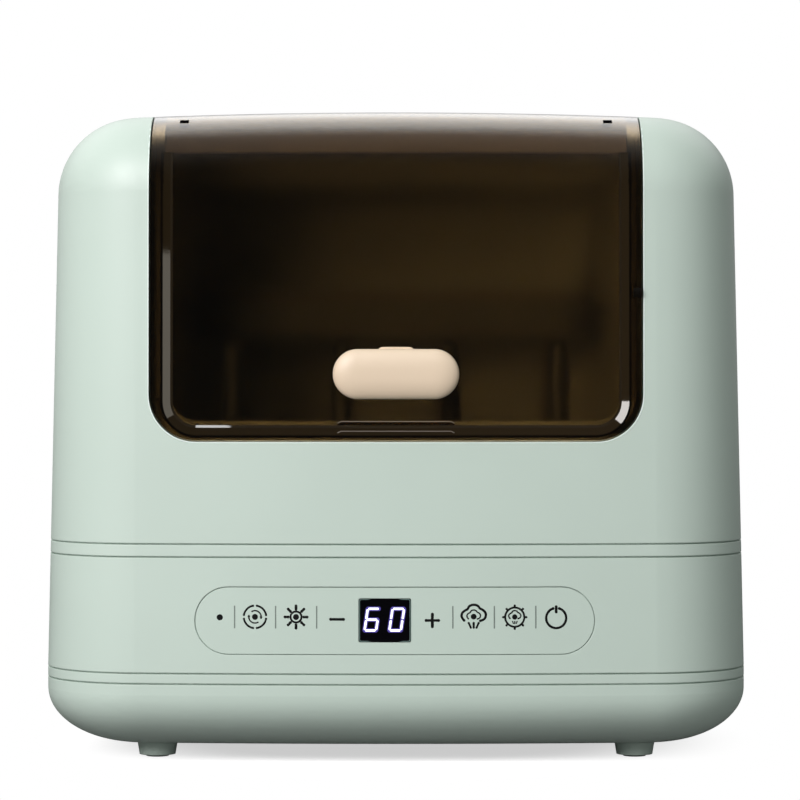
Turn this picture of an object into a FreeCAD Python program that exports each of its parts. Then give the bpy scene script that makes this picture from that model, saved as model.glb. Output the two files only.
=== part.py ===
import FreeCAD, Part
import math
import os
from FreeCAD import Placement, Rotation, Vector

# Countertop steam sterilizer and dryer for feeding bottles.
# Millimetres. X to the right, Y to the back, Z up, floor at Z = 0, middle of the footprint at X = Y = 0.

# Outer form of the casing
body_width = 348.0
body_depth = 284.0
body_height = 321.4
plan_corner_r = 52.0
face_bow_r = 1350.0
draft_deg = 1.3
crown_r = 3600.0
top_edge_r = 39.0
dish_curve_w = 43.5
dish_curve_h = 27.5
foot_height = 7.0
handle_proud = 8.5
gland_proud = 2.5

# Casing shells and the seams between them
shell_wall = 2.5
dish_top_z = 40.0
lower_ring_height = 5.1
belt_height = 56.5
upper_ring_height = 6.3
seam_width = 0.7
seam_depth = 0.9
sealed_gap = 0.3

# Lid over the front and top
lid_width = 238.8
lid_bottom_z = 158.4
lid_corner_r = 22.2
lid_gap = 0.8
lid_wall = 2.8
lid_rim_width = 6.3
lid_rim_depth = 9.0
return_wall = 2.4
mouth_depth = 14.0
mouth_inset = 9.0
mouth_back = 24.0
seal_inset = 2.0
seal_width = 4.6

# Lid hinge
hinge_y = 48.0
hinge_drop = 10.0
hinge_clear_r = 14.0
hinge_skirt = 2.8
hinge_skirt_drop = 4.0
hinge_pin_r = 3.0
hinge_pin_clearance = 0.05
knuckle_r = 6.4
knuckle_length = 18.0
pin_in_lid = 14.0
damper_r = 8.0
damper_length = 14.0

# Handle
handle_width = 61.0
handle_height = 24.2
handle_thickness = 6.8
handle_edge_r = 2.8
handle_z = 190.5
neck_width = 44.0
neck_height = 11.6
thumb_crown_width = 18.4
thumb_crown_rise = 1.0
handle_screw_pitch = 28.0
small_screw_r = 1.5
small_head_r = 2.8
small_head_height = 1.8

# Lid catch and lid switch
catch_width = 56.6
catch_height = 4.5
catch_offset = 4.6
catch_thickness = 3.6
catch_magnet_width = 40.0
catch_magnet_thickness = 4.0
switch_z = 230.0
switch_magnet_r = 2.4
switch_magnet_length = 4.0
switch_body_width = 9.0
switch_body_height = 22.0

# Sterilizing chamber
liner_wall = 2.0
liner_rear_y = 88.0
liner_corner_r = 20.0
chamber_floor_z = 118.0
chamber_roof_z = 290.0
tray_ledge_z = 232.0
tray_ledge_width = 5.0
tray_ledge_thickness = 2.0
tray_ledge_length = 80.0

# Heating pan in the chamber floor
pan_y = -16.0
pan_r = 64.0
pan_flange_width = 9.0
pan_depth = 11.2
pan_wall = 1.2
pan_seal_thickness = 0.8
heater_r = 41.0
heater_width = 10.0
heater_height = 5.0
thermostat_r = 8.0
thermostat_height = 8.0
fuse_r = 2.2
fuse_length = 16.0
clamp_span = 148.0
clamp_width = 14.0
clamp_thickness = 1.2

# Inner frame
chassis_thickness = 3.0
chassis_hole_r = 82.0
post_r = 4.5
screw_core_r = 1.6
screw_head_r = 3.2
screw_head_height = 2.2
dish_boss_r = 6.0
dish_boss_top_z = 20.0
post_from_side = 56.0
post_front_y = -84.0
post_rear_y = 96.0
rib_thickness = 2.0

# Feet
foot_from_side = 55.0
foot_front_y = -88.0
foot_rear_y = 94.0
foot_top_r = 10.4
foot_bottom_r = 9.0
foot_lift = 1.0
pad_r = 5.6
pad_seat = 1.0

# Control panel
panel_x = -0.6
panel_z = 71.0
panel_width = 193.4
panel_height = 32.2
panel_thickness = 1.0
panel_gap = 0.35
display_x = -5.4
display_z = 71.3
display_width = 25.2
display_height = 21.0
display_corner_r = 0.8
display_window_thickness = 1.4
board_depth = 12.5
board_width = 186.0
board_height = 36.0
board_thickness = 1.6
board_post_x = 88.0
board_post_rise = 12.5
board_post_r = 3.2
touch_spring_r = 4.2
touch_spring_wire = 0.8
touch_spring_turns = 4
key_offsets = (-67.9, -47.8, -28.0, 17.8, 37.6, 57.8, 77.9)
lamp_offset = -84.8
lamp_r = 1.5
key_z = 72.6

# Drying air
fan_x = -46.0
fan_y = 84.0
scroll_r = 42.0
scroll_wall = 1.8
scroll_bottom_z = 48.0
scroll_height = 28.0
inlet_r = 21.0
impeller_r = 34.0
impeller_height = 18.0
blade_count = 24
blade_thickness = 1.0
blade_depth = 8.0
shaft_r = 2.0
shaft_clearance = 0.05
bush_r = 5.0
bush_height = 4.0
motor_r = 18.0
motor_height = 22.0
impeller_lift = 2.0
duct_x0 = 8.0
duct_width = 64.0
duct_wall = 1.6
duct_depth = 20.0
duct_foot_depth = 36.0
duct_outlet_z = 136.0
duct_outlet_height = 22.0
duct_slot_width = 4.0
duct_slot_pitch = 8.0
heater_block_height = 12.0
heater_fin_pitch = 3.0
heater_fin_thickness = 0.8

# Air filter in the rear wall
filter_x = -46.0
filter_z = 74.0
filter_width = 70.0
filter_height = 40.0
filter_corner_r = 6.0
filter_gap = 0.4
filter_pad_depth = 7.0
filter_slot_height = 2.6
filter_slot_pitch = 5.6
filter_travel_room = 0.3

# Steam vent high in the rear wall
vent_width = 90.0
vent_height = 18.0
vent_z = 262.0
vent_blade_pitch = 5.0
vent_blade_thickness = 1.4

# Mains side
gland_from_side = 58.0
gland_z = 66.0
gland_r = 6.5
gland_flange_r = 9.0
gland_bore_r = 3.6
gland_length = 12.0
power_board_x0 = 20.0
power_board_width = 84.0
power_board_y0 = -30.0
power_board_depth = 96.0
power_board_z = 30.0

# Racks inside the chamber
cover_margin = 6.0
cover_z = 127.0
cover_thickness = 2.0
cover_slot_width = 5.0
cover_slot_length = 24.0
cover_slot_pitch_x = 20.0
cover_slot_pitch_y = 34.0
rack_margin = 12.0
rack_bar = 4.0
peg_columns = 4
peg_pitch_x = 54.0
peg_row_y = (-88.0, -34.0)
peg_base_r = 6.5
peg_tip_r = 4.5
peg_spigot_r = 3.0
peg_spigot_clearance = 0.05
peg_height = 74.0
short_peg_y = 34.0
short_peg_height = 20.0
tray_depth = 22.0
tray_wall = 1.6
tray_gap = 0.6
tray_front_y = 4.0
tray_slot_width = 4.0
tray_slot_pitch = 12.0
grip_height = 14.0

# Places that follow from the sizes above
whole_depth = body_depth + handle_proud + gland_proud
front_y = handle_proud - whole_depth / 2
rear_y = front_y + body_depth
mid_y = (front_y + rear_y) / 2
lower_ring_top_z = dish_top_z + lower_ring_height
belt_top_z = lower_ring_top_z + belt_height
upper_ring_top_z = belt_top_z + upper_ring_height
draft_z = lower_ring_top_z
lid_half = lid_width / 2
hinge_z = body_height - hinge_drop
mouth_rear_y = hinge_y - mouth_back
liner_half = lid_half - mouth_inset
liner_outer_half = liner_half + liner_wall
chassis_top_z = upper_ring_top_z
chassis_bottom_z = chassis_top_z - chassis_thickness
post_x = body_width / 2 - post_from_side
foot_x = body_width / 2 - foot_from_side
gland_x = body_width / 2 - gland_from_side
rack_z = cover_z + cover_thickness
far = body_width + body_depth + body_height


def block(x0, x1, y0, y1, z0, z1):
    return Part.makeBox(x1 - x0, y1 - y0, z1 - z0, Vector(x0, y0, z0))


def rod(radius, start, end):
    run = end.sub(start)
    return Part.makeCylinder(radius, run.Length, start, run)


def upright(radius, x, y, z0, z1):
    return rod(radius, Vector(x, y, z0), Vector(x, y, z1))


def cone(r0, r1, x, y, z0, z1):
    return Part.makeCone(r0, r1, z1 - z0, Vector(x, y, z0))


def joined(shapes):
    whole = shapes[0]
    if len(shapes) > 1:
        whole = whole.multiFuse(shapes[1:])
    return whole.removeSplitter()


def less(shape, tools):
    return shape.cut(Part.makeCompound(tools))


def rounded_prism(axis, a0, a1, b0, b1, radius, c0, c1):
    """A rounded rectangle, a by b, drawn out from c0 to c1 along the named axis."""
    radius = min(radius, (a1 - a0) / 2, (b1 - b0) / 2)
    place = {
        "x": lambda a, b: Vector(c0, a, b),
        "y": lambda a, b: Vector(a, c0, b),
        "z": lambda a, b: Vector(a, b, c0),
    }[axis]
    run = {"x": Vector(c1 - c0, 0, 0), "y": Vector(0, c1 - c0, 0), "z": Vector(0, 0, c1 - c0)}[axis]
    centres = [(a1 - radius, b1 - radius), (a0 + radius, b1 - radius),
               (a0 + radius, b0 + radius), (a1 - radius, b0 + radius)]
    edges = []
    last = None
    for quarter, (ca, cb) in enumerate(centres):
        points = []
        for turn in (0, 45, 90):
            angle = math.radians(90 * quarter + turn)
            points.append(place(ca + radius * math.cos(angle), cb + radius * math.sin(angle)))
        if last is not None and last.distanceToPoint(points[0]) > 1e-6:
            edges.append(Part.makeLine(last, points[0]))
        edges.append(Part.Arc(*points).toShape())
        last = points[2]
    first = edges[0].Vertexes[0].Point
    if last.distanceToPoint(first) > 1e-6:
        edges.append(Part.makeLine(last, first))
    solid = Part.Face(Part.Wire(edges)).extrude(run)
    if solid.Volume < 0:
        solid.reverse()
    return solid


def wall_point(stretch, inset):
    """Start point and outward heading of one stretch of the plan outline."""
    if stretch[0] == "arc":
        centre, radius, start = stretch[1], stretch[2] - inset, stretch[3]
        angle = math.radians(start)
        return Vector(centre[0] + radius * math.cos(angle), centre[1] + radius * math.sin(angle), 0), start
    return Vector(stretch[1][0], stretch[1][1], 0), stretch[3]


def plan_outline():
    """Gently bowed front and back, flat sides and round corners, as stretches that meet in tangents."""
    corner_x = body_width / 2 - plan_corner_r
    lean = math.asin(corner_x / (face_bow_r - plan_corner_r))
    reach = (face_bow_r - plan_corner_r) * math.cos(lean)
    corner_front = front_y + face_bow_r - reach
    corner_rear = rear_y - face_bow_r + reach
    swing = math.degrees(lean)
    side = body_width / 2
    return [
        ("arc", (0, front_y + face_bow_r), face_bow_r, -90 - swing, -90 + swing),
        ("arc", (corner_x, corner_front), plan_corner_r, -90 + swing, 0),
        ("line", (side, corner_front), (side, corner_rear), 0),
        ("arc", (corner_x, corner_rear), plan_corner_r, 0, 90 - swing),
        ("arc", (0, rear_y - face_bow_r), face_bow_r, 90 - swing, 90 + swing),
        ("arc", (-corner_x, corner_rear), plan_corner_r, 90 + swing, 180),
        ("line", (-side, corner_rear), (-side, corner_front), 180),
        ("arc", (-corner_x, corner_front), plan_corner_r, 180, 270 - swing),
    ]


def plan_wire(inset, z):
    edges = []
    for stretch in plan_outline():
        if stretch[0] == "arc":
            centre, radius, start, end = stretch[1], stretch[2] - inset, stretch[3], stretch[4]
            points = []
            for angle in (start, (start + end) / 2, end):
                turn = math.radians(angle)
                points.append(Vector(centre[0] + radius * math.cos(turn), centre[1] + radius * math.sin(turn), z))
            edges.append(Part.Arc(*points).toShape())
        else:
            outward = math.radians(stretch[3])
            shift = Vector(-inset * math.cos(outward), -inset * math.sin(outward), z)
            start = Vector(stretch[1][0], stretch[1][1], 0).add(shift)
            end = Vector(stretch[2][0], stretch[2][1], 0).add(shift)
            edges.append(Part.makeLine(start, end))
    return Part.Wire(edges)


def envelope(inset):
    """Solid inside the casing's outer surface, moved inwards by the inset."""
    top_z = body_height + top_edge_r
    lean_in = (top_z - draft_z) * math.tan(math.radians(draft_deg)) + inset
    bottom_z = foot_height + inset
    curve_w = dish_curve_w - inset
    curve_h = dish_curve_h - inset
    curve_top = bottom_z + curve_h
    profile = Part.Wire([
        Part.makeLine(Vector(-lean_in, 0, top_z), Vector(-inset, 0, draft_z)),
        Part.makeLine(Vector(-inset, 0, draft_z), Vector(-inset, 0, curve_top)),
        Part.ArcOfEllipse(
            Part.Ellipse(Vector(-inset, 0, curve_top), Vector(-inset - curve_w, 0, bottom_z),
                         Vector(-inset - curve_w, 0, curve_top)),
            0, math.pi / 2).toShape(),
    ])
    faces = []
    for stretch in plan_outline():
        start, heading = wall_point(stretch, 0)
        section = profile.copy()
        section.Placement = Placement(start, Rotation(Vector(0, 0, 1), heading))
        if stretch[0] == "arc":
            centre = Vector(stretch[1][0], stretch[1][1], 0)
            faces += section.revolve(centre, Vector(0, 0, 1), stretch[4] - stretch[3]).Faces
        else:
            end = Vector(stretch[2][0], stretch[2][1], 0)
            faces += section.extrude(end.sub(start)).Faces
    faces.append(Part.Face(plan_wire(lean_in, top_z)))
    faces.append(Part.Face(plan_wire(inset + curve_w, bottom_z)))
    shell = Part.Shell(faces)
    shell.sewShape()
    solid = Part.Solid(shell)
    if solid.Volume < 0:
        solid.reverse()
    crown = Part.makeSphere(crown_r - inset, Vector(0, mid_y, body_height - crown_r))
    crowned = solid.common(crown).Solids[0]
    top_face = max(crowned.Faces, key=lambda face: face.CenterOfMass.z)
    return crowned.makeFillet(top_edge_r - inset, top_face.OuterWire.Edges).Solids[0]


skins = {}
layers = {}


def inside(inset):
    """Each envelope is worked out once and kept."""
    key = round(inset, 4)
    if key not in skins:
        skins[key] = envelope(inset)
    return skins[key]


def layer(outer, inner):
    """Shell of the casing's form between two insets, worked out once and kept."""
    key = (round(outer, 4), round(inner, 4))
    if key not in layers:
        layers[key] = inside(outer).cut(inside(inner))
    return layers[key]


def slab(z0, z1):
    return block(-far, far, -far, far, z0, z1)


def front_face_y(z):
    """Outer surface of the front, on the middle line."""
    return front_y + max(0.0, z - draft_z) * math.tan(math.radians(draft_deg))


def rear_face_y(z):
    """Outer surface of the back, on the middle line."""
    return rear_y - max(0.0, z - draft_z) * math.tan(math.radians(draft_deg))


def along_hinge(radius, half):
    return rod(radius, Vector(-half, hinge_y, hinge_z), Vector(half, hinge_y, hinge_z))


def lid_outline(grow, rear):
    """The lid's front outline, drawn back to the given depth."""
    half = lid_half + grow
    return rounded_prism("y", -half, half, lid_bottom_z - grow, far, lid_corner_r + grow,
                         front_y - lid_corner_r, rear)


def lid_region(grow):
    """Space that the lid may fill: its front outline carried back to the hinge, and the hinge's round."""
    return lid_outline(grow, hinge_y).fuse(along_hinge(hinge_clear_r + grow, lid_half + grow))


def mouth_region(inset):
    """Space inside the lid's rim line, closed ahead of the hinge."""
    half = lid_half - inset
    rear = mouth_rear_y + mouth_inset - inset
    corner = max(lid_corner_r - inset, 2.0)
    outline = rounded_prism("y", -half, half, lid_bottom_z + inset, far, corner, -far, far)
    plan = rounded_prism("z", -half, half, -far, rear, corner, 0, far)
    return outline.common(plan)


def seam_cut(z):
    return layer(-0.5, seam_depth).common(slab(z - seam_width / 2, z + seam_width / 2))


def casing_band(z0, z1, seams):
    band = layer(0, shell_wall).common(slab(z0, z1))
    for z in seams:
        band = band.cut(seam_cut(z))
    return band


post_places = [(side * post_x, y) for side in (-1, 1) for y in (post_front_y, mid_y, post_rear_y)]
foot_places = [(side * foot_x, y) for side in (-1, 1) for y in (foot_front_y, foot_rear_y)]


def base_dish():
    """Bottom tray of the casing with its four foot cups, screw bosses and air slots."""
    dish = casing_band(foot_height, dish_top_z, [dish_top_z])
    floor_z = foot_height + shell_wall
    adds = []
    holes = []
    for x, y in post_places:
        adds.append(upright(dish_boss_r, x, y, foot_height + shell_wall / 2, dish_boss_top_z))
        holes.append(upright(screw_core_r + 0.2, x, y, 0, dish_boss_top_z + 1))
        holes.append(upright(screw_head_r + 0.3, x, y, 0, foot_height + screw_head_height + 4))
    for x, y in foot_places:
        adds.append(cone(foot_bottom_r, foot_top_r, x, y, foot_lift, foot_height + shell_wall))
        holes.append(upright(pad_r, x, y, 0, foot_lift + pad_seat))
    for x, y in scroll_ears():
        adds.append(upright(post_r, x, y, foot_height + shell_wall / 2, scroll_bottom_z))
        holes.append(upright(small_screw_r, x, y, scroll_bottom_z - 10, scroll_bottom_z))
    for x, y in power_board_posts():
        adds.append(upright(post_r, x, y, foot_height + shell_wall / 2, power_board_z))
        holes.append(upright(small_screw_r, x, y, power_board_z - 8, power_board_z))
    for index in range(-4, 5):
        x = index * 9.0
        holes.append(rounded_prism("z", x - 1.5, x + 1.5, -50.0, -10.0, 1.5, 0, floor_z + 1))
    trimmed = joined(adds).common(joined([inside(0), block(-far, far, -far, far, 0, foot_height + 1)]))
    return less(dish.fuse(trimmed), holes)


def lower_trim_ring():
    return casing_band(dish_top_z, lower_ring_top_z, [dish_top_z, lower_ring_top_z])


def upper_trim_ring():
    return casing_band(belt_top_z, upper_ring_top_z, [belt_top_z, upper_ring_top_z])


def panel_outline(grow, y0, y1):
    half_w = panel_width / 2 + grow
    half_h = panel_height / 2 + grow
    return rounded_prism("y", panel_x - half_w, panel_x + half_w, panel_z - half_h, panel_z + half_h,
                         half_h, y0, y1)


def display_outline(grow, y0, y1):
    half_w = display_width / 2 + grow
    half_h = display_height / 2 + grow
    return rounded_prism("y", display_x - half_w, display_x + half_w, display_z - half_h, display_z + half_h,
                         display_corner_r + max(grow, 0), y0, y1)


def filter_outline(grow, y0, y1):
    half_w = filter_width / 2 + grow
    half_h = filter_height / 2 + grow
    return rounded_prism("y", filter_x - half_w, filter_x + half_w, filter_z - half_h, filter_z + half_h,
                         filter_corner_r + grow, y0, y1)


board_front_y = front_y + board_depth
board_post_places = [(panel_x + side * board_post_x, panel_z + rise * board_post_rise)
                     for side in (-1, 1) for rise in (-1, 1)]


def control_belt():
    """Middle band of the casing, with the panel's recess and the openings for display, filter and cord."""
    belt = casing_band(lower_ring_top_z, belt_top_z, [lower_ring_top_z, belt_top_z])
    posts = [rod(board_post_r, Vector(x, front_y, z), Vector(x, board_front_y, z)) for x, z in board_post_places]
    belt = belt.fuse(joined(posts).common(inside(shell_wall - 0.5)))
    belt = belt.cut(panel_outline(panel_gap, front_y - 5, front_y + board_depth).common(
        layer(-0.5, panel_thickness)))
    lamp_x = panel_x + lamp_offset
    holes = [
        display_outline(-1.2, front_y - 5, board_front_y - 1),
        rod(lamp_r, Vector(lamp_x, front_y - 5, key_z), Vector(lamp_x, board_front_y, key_z)),
        filter_outline(filter_gap, mid_y, rear_y + 5),
        rod(gland_r, Vector(gland_x, mid_y, gland_z), Vector(gland_x, rear_y + 5, gland_z)),
    ]
    for x, z in board_post_places:
        holes.append(rod(small_screw_r, Vector(x, board_front_y - 6, z), Vector(x, board_front_y + 1, z)))
    return less(belt, holes)


def vent_outline(grow, y0, y1):
    half_w = vent_width / 2 + grow
    half_h = vent_height / 2 + grow
    return rounded_prism("y", -half_w, half_w, vent_z - half_h, vent_z + half_h, half_h, y0, y1)


def gutter():
    """Channel under the hinge that the lid's rear skirt turns in."""
    half = lid_half + lid_gap
    ring = along_hinge(hinge_clear_r + lid_gap + return_wall, half).cut(
        along_hinge(hinge_clear_r + lid_gap, half + 1))
    above = block(-far, far, hinge_y - far, hinge_y, hinge_z - hinge_skirt_drop, far)
    return ring.cut(above).common(inside(0))


def switch_place(side_reach):
    return Vector(side_reach, front_face_y(switch_z) + lid_rim_depth * 0.62, switch_z)


def upper_housing():
    """Main casing shell: back, sides, top behind the lid and the walls that turn in round the lid."""
    shell = casing_band(upper_ring_top_z, far, [upper_ring_top_z])
    shell = shell.cut(lid_region(lid_gap))
    turned_in = layer(shell_wall / 2, mouth_depth).common(
        lid_region(lid_gap + return_wall).cut(lid_region(lid_gap)))
    shell = shell.fuse([turned_in, gutter()])
    posts = []
    holes = [vent_outline(filter_gap, mid_y, rear_y + 5)]
    half = lid_half + lid_gap + return_wall
    for side in (-1, 1):
        holes.append(rod(hinge_pin_r, Vector(side * (lid_half - 1), hinge_y, hinge_z),
                         Vector(side * (half + 5), hinge_y, hinge_z)))
    for x, y in post_places:
        posts.append(upright(post_r, x, y, chassis_top_z, chassis_top_z + 14))
        holes.append(upright(screw_core_r, x, y, chassis_top_z - 1, chassis_top_z + 12))
    ribs = []
    for x, y in post_places:
        reach = math.copysign(body_width / 2, x)
        ribs.append(block(min(x, reach), max(x, reach), y - rib_thickness / 2, y + rib_thickness / 2,
                          chassis_top_z, chassis_top_z + 14))
    shell = shell.fuse(joined(posts + ribs).common(inside(shell_wall - 0.5)))
    return less(shell.removeSplitter(), holes)


def rear_louvre():
    """Slatted insert of the steam vent, flush with the back."""
    outer = layer(0, shell_wall).common(vent_outline(0, mid_y, rear_y + 5))
    window = vent_outline(-3.0, mid_y, rear_y + 5)
    blades = []
    count = int((vent_height - 6.0) / vent_blade_pitch) + 1
    for index in range(count):
        z = vent_z + (index - (count - 1) / 2) * vent_blade_pitch
        blades.append(block(-far, far, mid_y, far, z - vent_blade_thickness / 2, z + vent_blade_thickness / 2))
    slats = layer(0.6, shell_wall).common(vent_outline(0, mid_y, rear_y + 5)).common(Part.makeCompound(blades))
    return joined([outer.cut(window)] + slats.Solids)


def chassis_plate():
    """Inner frame that the chamber stands on; its posts take the screws that close the casing."""
    plate = inside(shell_wall + sealed_gap).common(slab(chassis_bottom_z, chassis_top_z))
    posts = [upright(post_r, x, y, dish_boss_top_z, chassis_bottom_z + 1) for x, y in post_places]
    stands = [upright(post_r, x, y, chassis_top_z - 1, chamber_floor_z - liner_wall) for x, y in stand_places()]
    holes = [upright(chassis_hole_r, 0, pan_y, chassis_bottom_z - 1, chassis_top_z + 1)]
    holes.append(block(duct_x0 - duct_wall - sealed_gap, duct_x0 + duct_width + duct_wall + sealed_gap,
                       liner_rear_y + liner_wall - sealed_gap,
                       liner_rear_y + liner_wall + duct_depth + 2 * duct_wall + sealed_gap,
                       chassis_bottom_z - 1, chassis_top_z + 1))
    for x, y in post_places:
        holes.append(upright(screw_core_r, x, y, dish_boss_top_z - 1, chassis_top_z + 1))
    for x, y in stand_places():
        holes.append(upright(small_screw_r, x, y, chassis_bottom_z - 1, chamber_floor_z))
    return less(joined([plate] + posts + stands), holes)


def stand_places():
    reach_x = liner_half - liner_corner_r
    return [(side * reach_x, y) for side in (-1, 1) for y in (post_front_y, liner_rear_y - liner_corner_r)]


def chamber_liner():
    """White tub of the chamber with the face that the lid's seal closes on and the ledges of the tray."""
    floor_z = chamber_floor_z - liner_wall
    outer_rear = liner_rear_y + liner_wall
    body_block = rounded_prism("z", -liner_outer_half, liner_outer_half, -far, outer_rear,
                               liner_corner_r + liner_wall, floor_z, far)
    rear_low = block(-far, far, mouth_rear_y + liner_wall, far, floor_z, chamber_roof_z + liner_wall)
    ahead = block(-far, far, -far, mouth_rear_y + liner_wall, floor_z, far)
    outer = body_block.common(rear_low.fuse(ahead)).common(inside(mouth_depth))
    room = rounded_prism("z", -liner_half, liner_half, -far, liner_rear_y, liner_corner_r, chamber_floor_z, far)
    room_low = block(-far, far, mouth_rear_y - 1, far, chamber_floor_z, chamber_roof_z)
    room_ahead = block(-far, far, -far, mouth_rear_y, chamber_floor_z, far)
    hollow = room.common(room_low.fuse(room_ahead)).common(inside(mouth_depth + liner_wall))
    tub = outer.cut(hollow)
    face = layer(mouth_depth, mouth_depth + liner_wall).common(
        lid_outline(lid_gap + return_wall, hinge_y - hinge_clear_r))
    tub = tub.fuse(face.Solids).cut(mouth_region(mouth_inset))
    tub = tub.cut(along_hinge(hinge_clear_r + lid_gap + return_wall, far))
    ledges = []
    for side in (-1, 1):
        wall_x = side * (liner_half + liner_wall / 2)
        edge_x = side * (liner_half - tray_ledge_width)
        ledges.append(block(min(wall_x, edge_x), max(wall_x, edge_x), liner_rear_y - tray_ledge_length,
                            liner_rear_y + liner_wall / 2, tray_ledge_z - tray_ledge_thickness, tray_ledge_z))
    bosses = [upright(post_r, side * clamp_span / 2, pan_y, clamp_top_z(), floor_z + 1) for side in (-1, 1)]
    holes = [upright(pan_r + pan_wall + sealed_gap, 0, pan_y, floor_z - 1, chamber_floor_z + 1)]
    for side in (-1, 1):
        holes.append(upright(small_screw_r, side * clamp_span / 2, pan_y, clamp_top_z() - 1, clamp_top_z() + 8))
    for x, y in stand_places():
        holes.append(upright(small_screw_r, x, y, floor_z - 1, chamber_floor_z + 1))
    count = int((duct_width - duct_slot_width) / duct_slot_pitch)
    for index in range(count):
        x = duct_x0 + duct_width / 2 + (index - (count - 1) / 2) * duct_slot_pitch
        holes.append(rounded_prism("y", x - duct_slot_width / 2, x + duct_slot_width / 2, duct_outlet_z,
                                   duct_outlet_z + duct_outlet_height, duct_slot_width / 2,
                                   liner_rear_y - 5, liner_rear_y + liner_wall + 1))
    return less(tub.fuse(ledges + bosses).removeSplitter(), holes)


def pan_top_z():
    return chamber_floor_z + pan_seal_thickness + pan_wall


def pan_bottom_z():
    return pan_top_z() - pan_depth - pan_wall


def clamp_top_z():
    return pan_bottom_z() - heater_height


def heating_pan():
    """Pressed steel pan that the water is poured into."""
    outer_r = pan_r + pan_wall
    body = upright(outer_r, 0, pan_y, pan_bottom_z(), pan_top_z())
    flange = upright(outer_r + pan_flange_width, 0, pan_y, pan_top_z() - pan_wall, pan_top_z())
    return body.fuse(flange).cut(upright(pan_r, 0, pan_y, pan_bottom_z() + pan_wall, far))


def pan_seal():
    z0 = chamber_floor_z
    outer = upright(pan_r + pan_wall + pan_flange_width - 0.5, 0, pan_y, z0, z0 + pan_seal_thickness)
    return outer.cut(upright(pan_r + pan_wall + sealed_gap, 0, pan_y, z0 - 1, z0 + 2))


def heater_ring():
    """Cast heating element under the pan, a horseshoe with two terminal tabs."""
    top = pan_bottom_z()
    outer = upright(heater_r + heater_width / 2, 0, pan_y, top - heater_height, top)
    ring = outer.cut(upright(heater_r - heater_width / 2, 0, pan_y, top - heater_height - 1, top + 1))
    gap = block(-heater_width, heater_width, pan_y + heater_r - heater_width, pan_y + heater_r + heater_width,
                top - heater_height - 1, top + 1)
    tabs = [block(side * (heater_width + 4) - 3, side * (heater_width + 4) + 3,
                  pan_y + heater_r - 0.5, pan_y + heater_r + heater_width / 2 + 9,
                  top - heater_height / 2 - 0.4, top - heater_height / 2 + 0.4) for side in (-1, 1)]
    return ring.cut(gap).fuse(tabs)


def thermostat():
    top = pan_bottom_z()
    body = upright(thermostat_r, 0, pan_y, top - clamp_room(), top)
    tabs = [block(side * 4 - 2, side * 4 + 2, pan_y - 0.4, pan_y + 0.4, top - thermostat_height - 6,
                  top - clamp_room() + 0.5) for side in (-1, 1)]
    return body.fuse(tabs)


def clamp_room():
    """Room between the pan's underside and the clamp bar."""
    return heater_height


def thermal_fuse():
    """Cut-out fuse strapped under the pan beside the heater."""
    y = pan_y - heater_r - heater_width / 2 - fuse_r - 1.0
    z = pan_bottom_z() - fuse_r - 0.1
    body = rod(fuse_r, Vector(-fuse_length / 2, y, z), Vector(fuse_length / 2, y, z))
    leads = rod(0.6, Vector(-fuse_length / 2 - 9, y, z), Vector(fuse_length / 2 + 9, y, z))
    strap = block(-3, 3, y - fuse_r - 0.6, y + fuse_r + 0.6, z - fuse_r - 0.6, pan_bottom_z())
    return joined([body, leads, strap])


def heater_clamp():
    """Spring steel bar that presses the heater and the thermostat up against the pan."""
    top = clamp_top_z()
    half = clamp_span / 2 + post_r
    bar = rounded_prism("z", -half, half, pan_y - clamp_width / 2, pan_y + clamp_width / 2, 4.0,
                        top - clamp_thickness, top)
    holes = [upright(small_screw_r + 0.1, side * clamp_span / 2, pan_y, top - 5, top + 1) for side in (-1, 1)]
    holes.append(block(-7, 7, pan_y - 1.2, pan_y + 1.2, top - 5, top + 1))
    return less(bar, holes)


def screw(tip, head, radius, head_r, head_height):
    """Pan-head screw: the shank runs from the tip to the underside of the head."""
    run = head.sub(tip)
    run.normalize()
    cap_end = head.add(run * head_height)
    cap = rod(head_r, head, cap_end)
    slot_floor = head.add(run * (head_height * 0.5))
    recess = rod(head_r * 0.36, slot_floor, cap_end)
    return rod(radius, tip, head).fuse(cap).cut(recess)


def clamp_screws():
    z = clamp_top_z() - clamp_thickness
    return Part.makeCompound([
        screw(Vector(side * clamp_span / 2, pan_y, z + 8), Vector(side * clamp_span / 2, pan_y, z),
              small_screw_r, small_head_r, small_head_height) for side in (-1, 1)])


def liner_screws():
    z = chassis_bottom_z
    return Part.makeCompound([
        screw(Vector(x, y, chamber_floor_z - liner_wall / 2), Vector(x, y, z),
              small_screw_r, small_head_r, small_head_height) for x, y in stand_places()])


def housing_screws():
    """Long screws up through the dish bosses and the chassis posts into the main casing."""
    z = foot_height + screw_head_height + 4
    return Part.makeCompound([
        screw(Vector(x, y, chassis_top_z + 12), Vector(x, y, z), screw_core_r,
              screw_head_r, screw_head_height) for x, y in post_places])


def foot_pads():
    return Part.makeCompound([upright(pad_r, x, y, 0, foot_lift + pad_seat) for x, y in foot_places])


def hinge_pins():
    start = lid_half - pin_in_lid
    end = lid_half + lid_gap + return_wall + damper_length
    return Part.makeCompound([
        rod(hinge_pin_r, Vector(side * start, hinge_y, hinge_z), Vector(side * end, hinge_y, hinge_z))
        for side in (-1, 1)])


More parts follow.
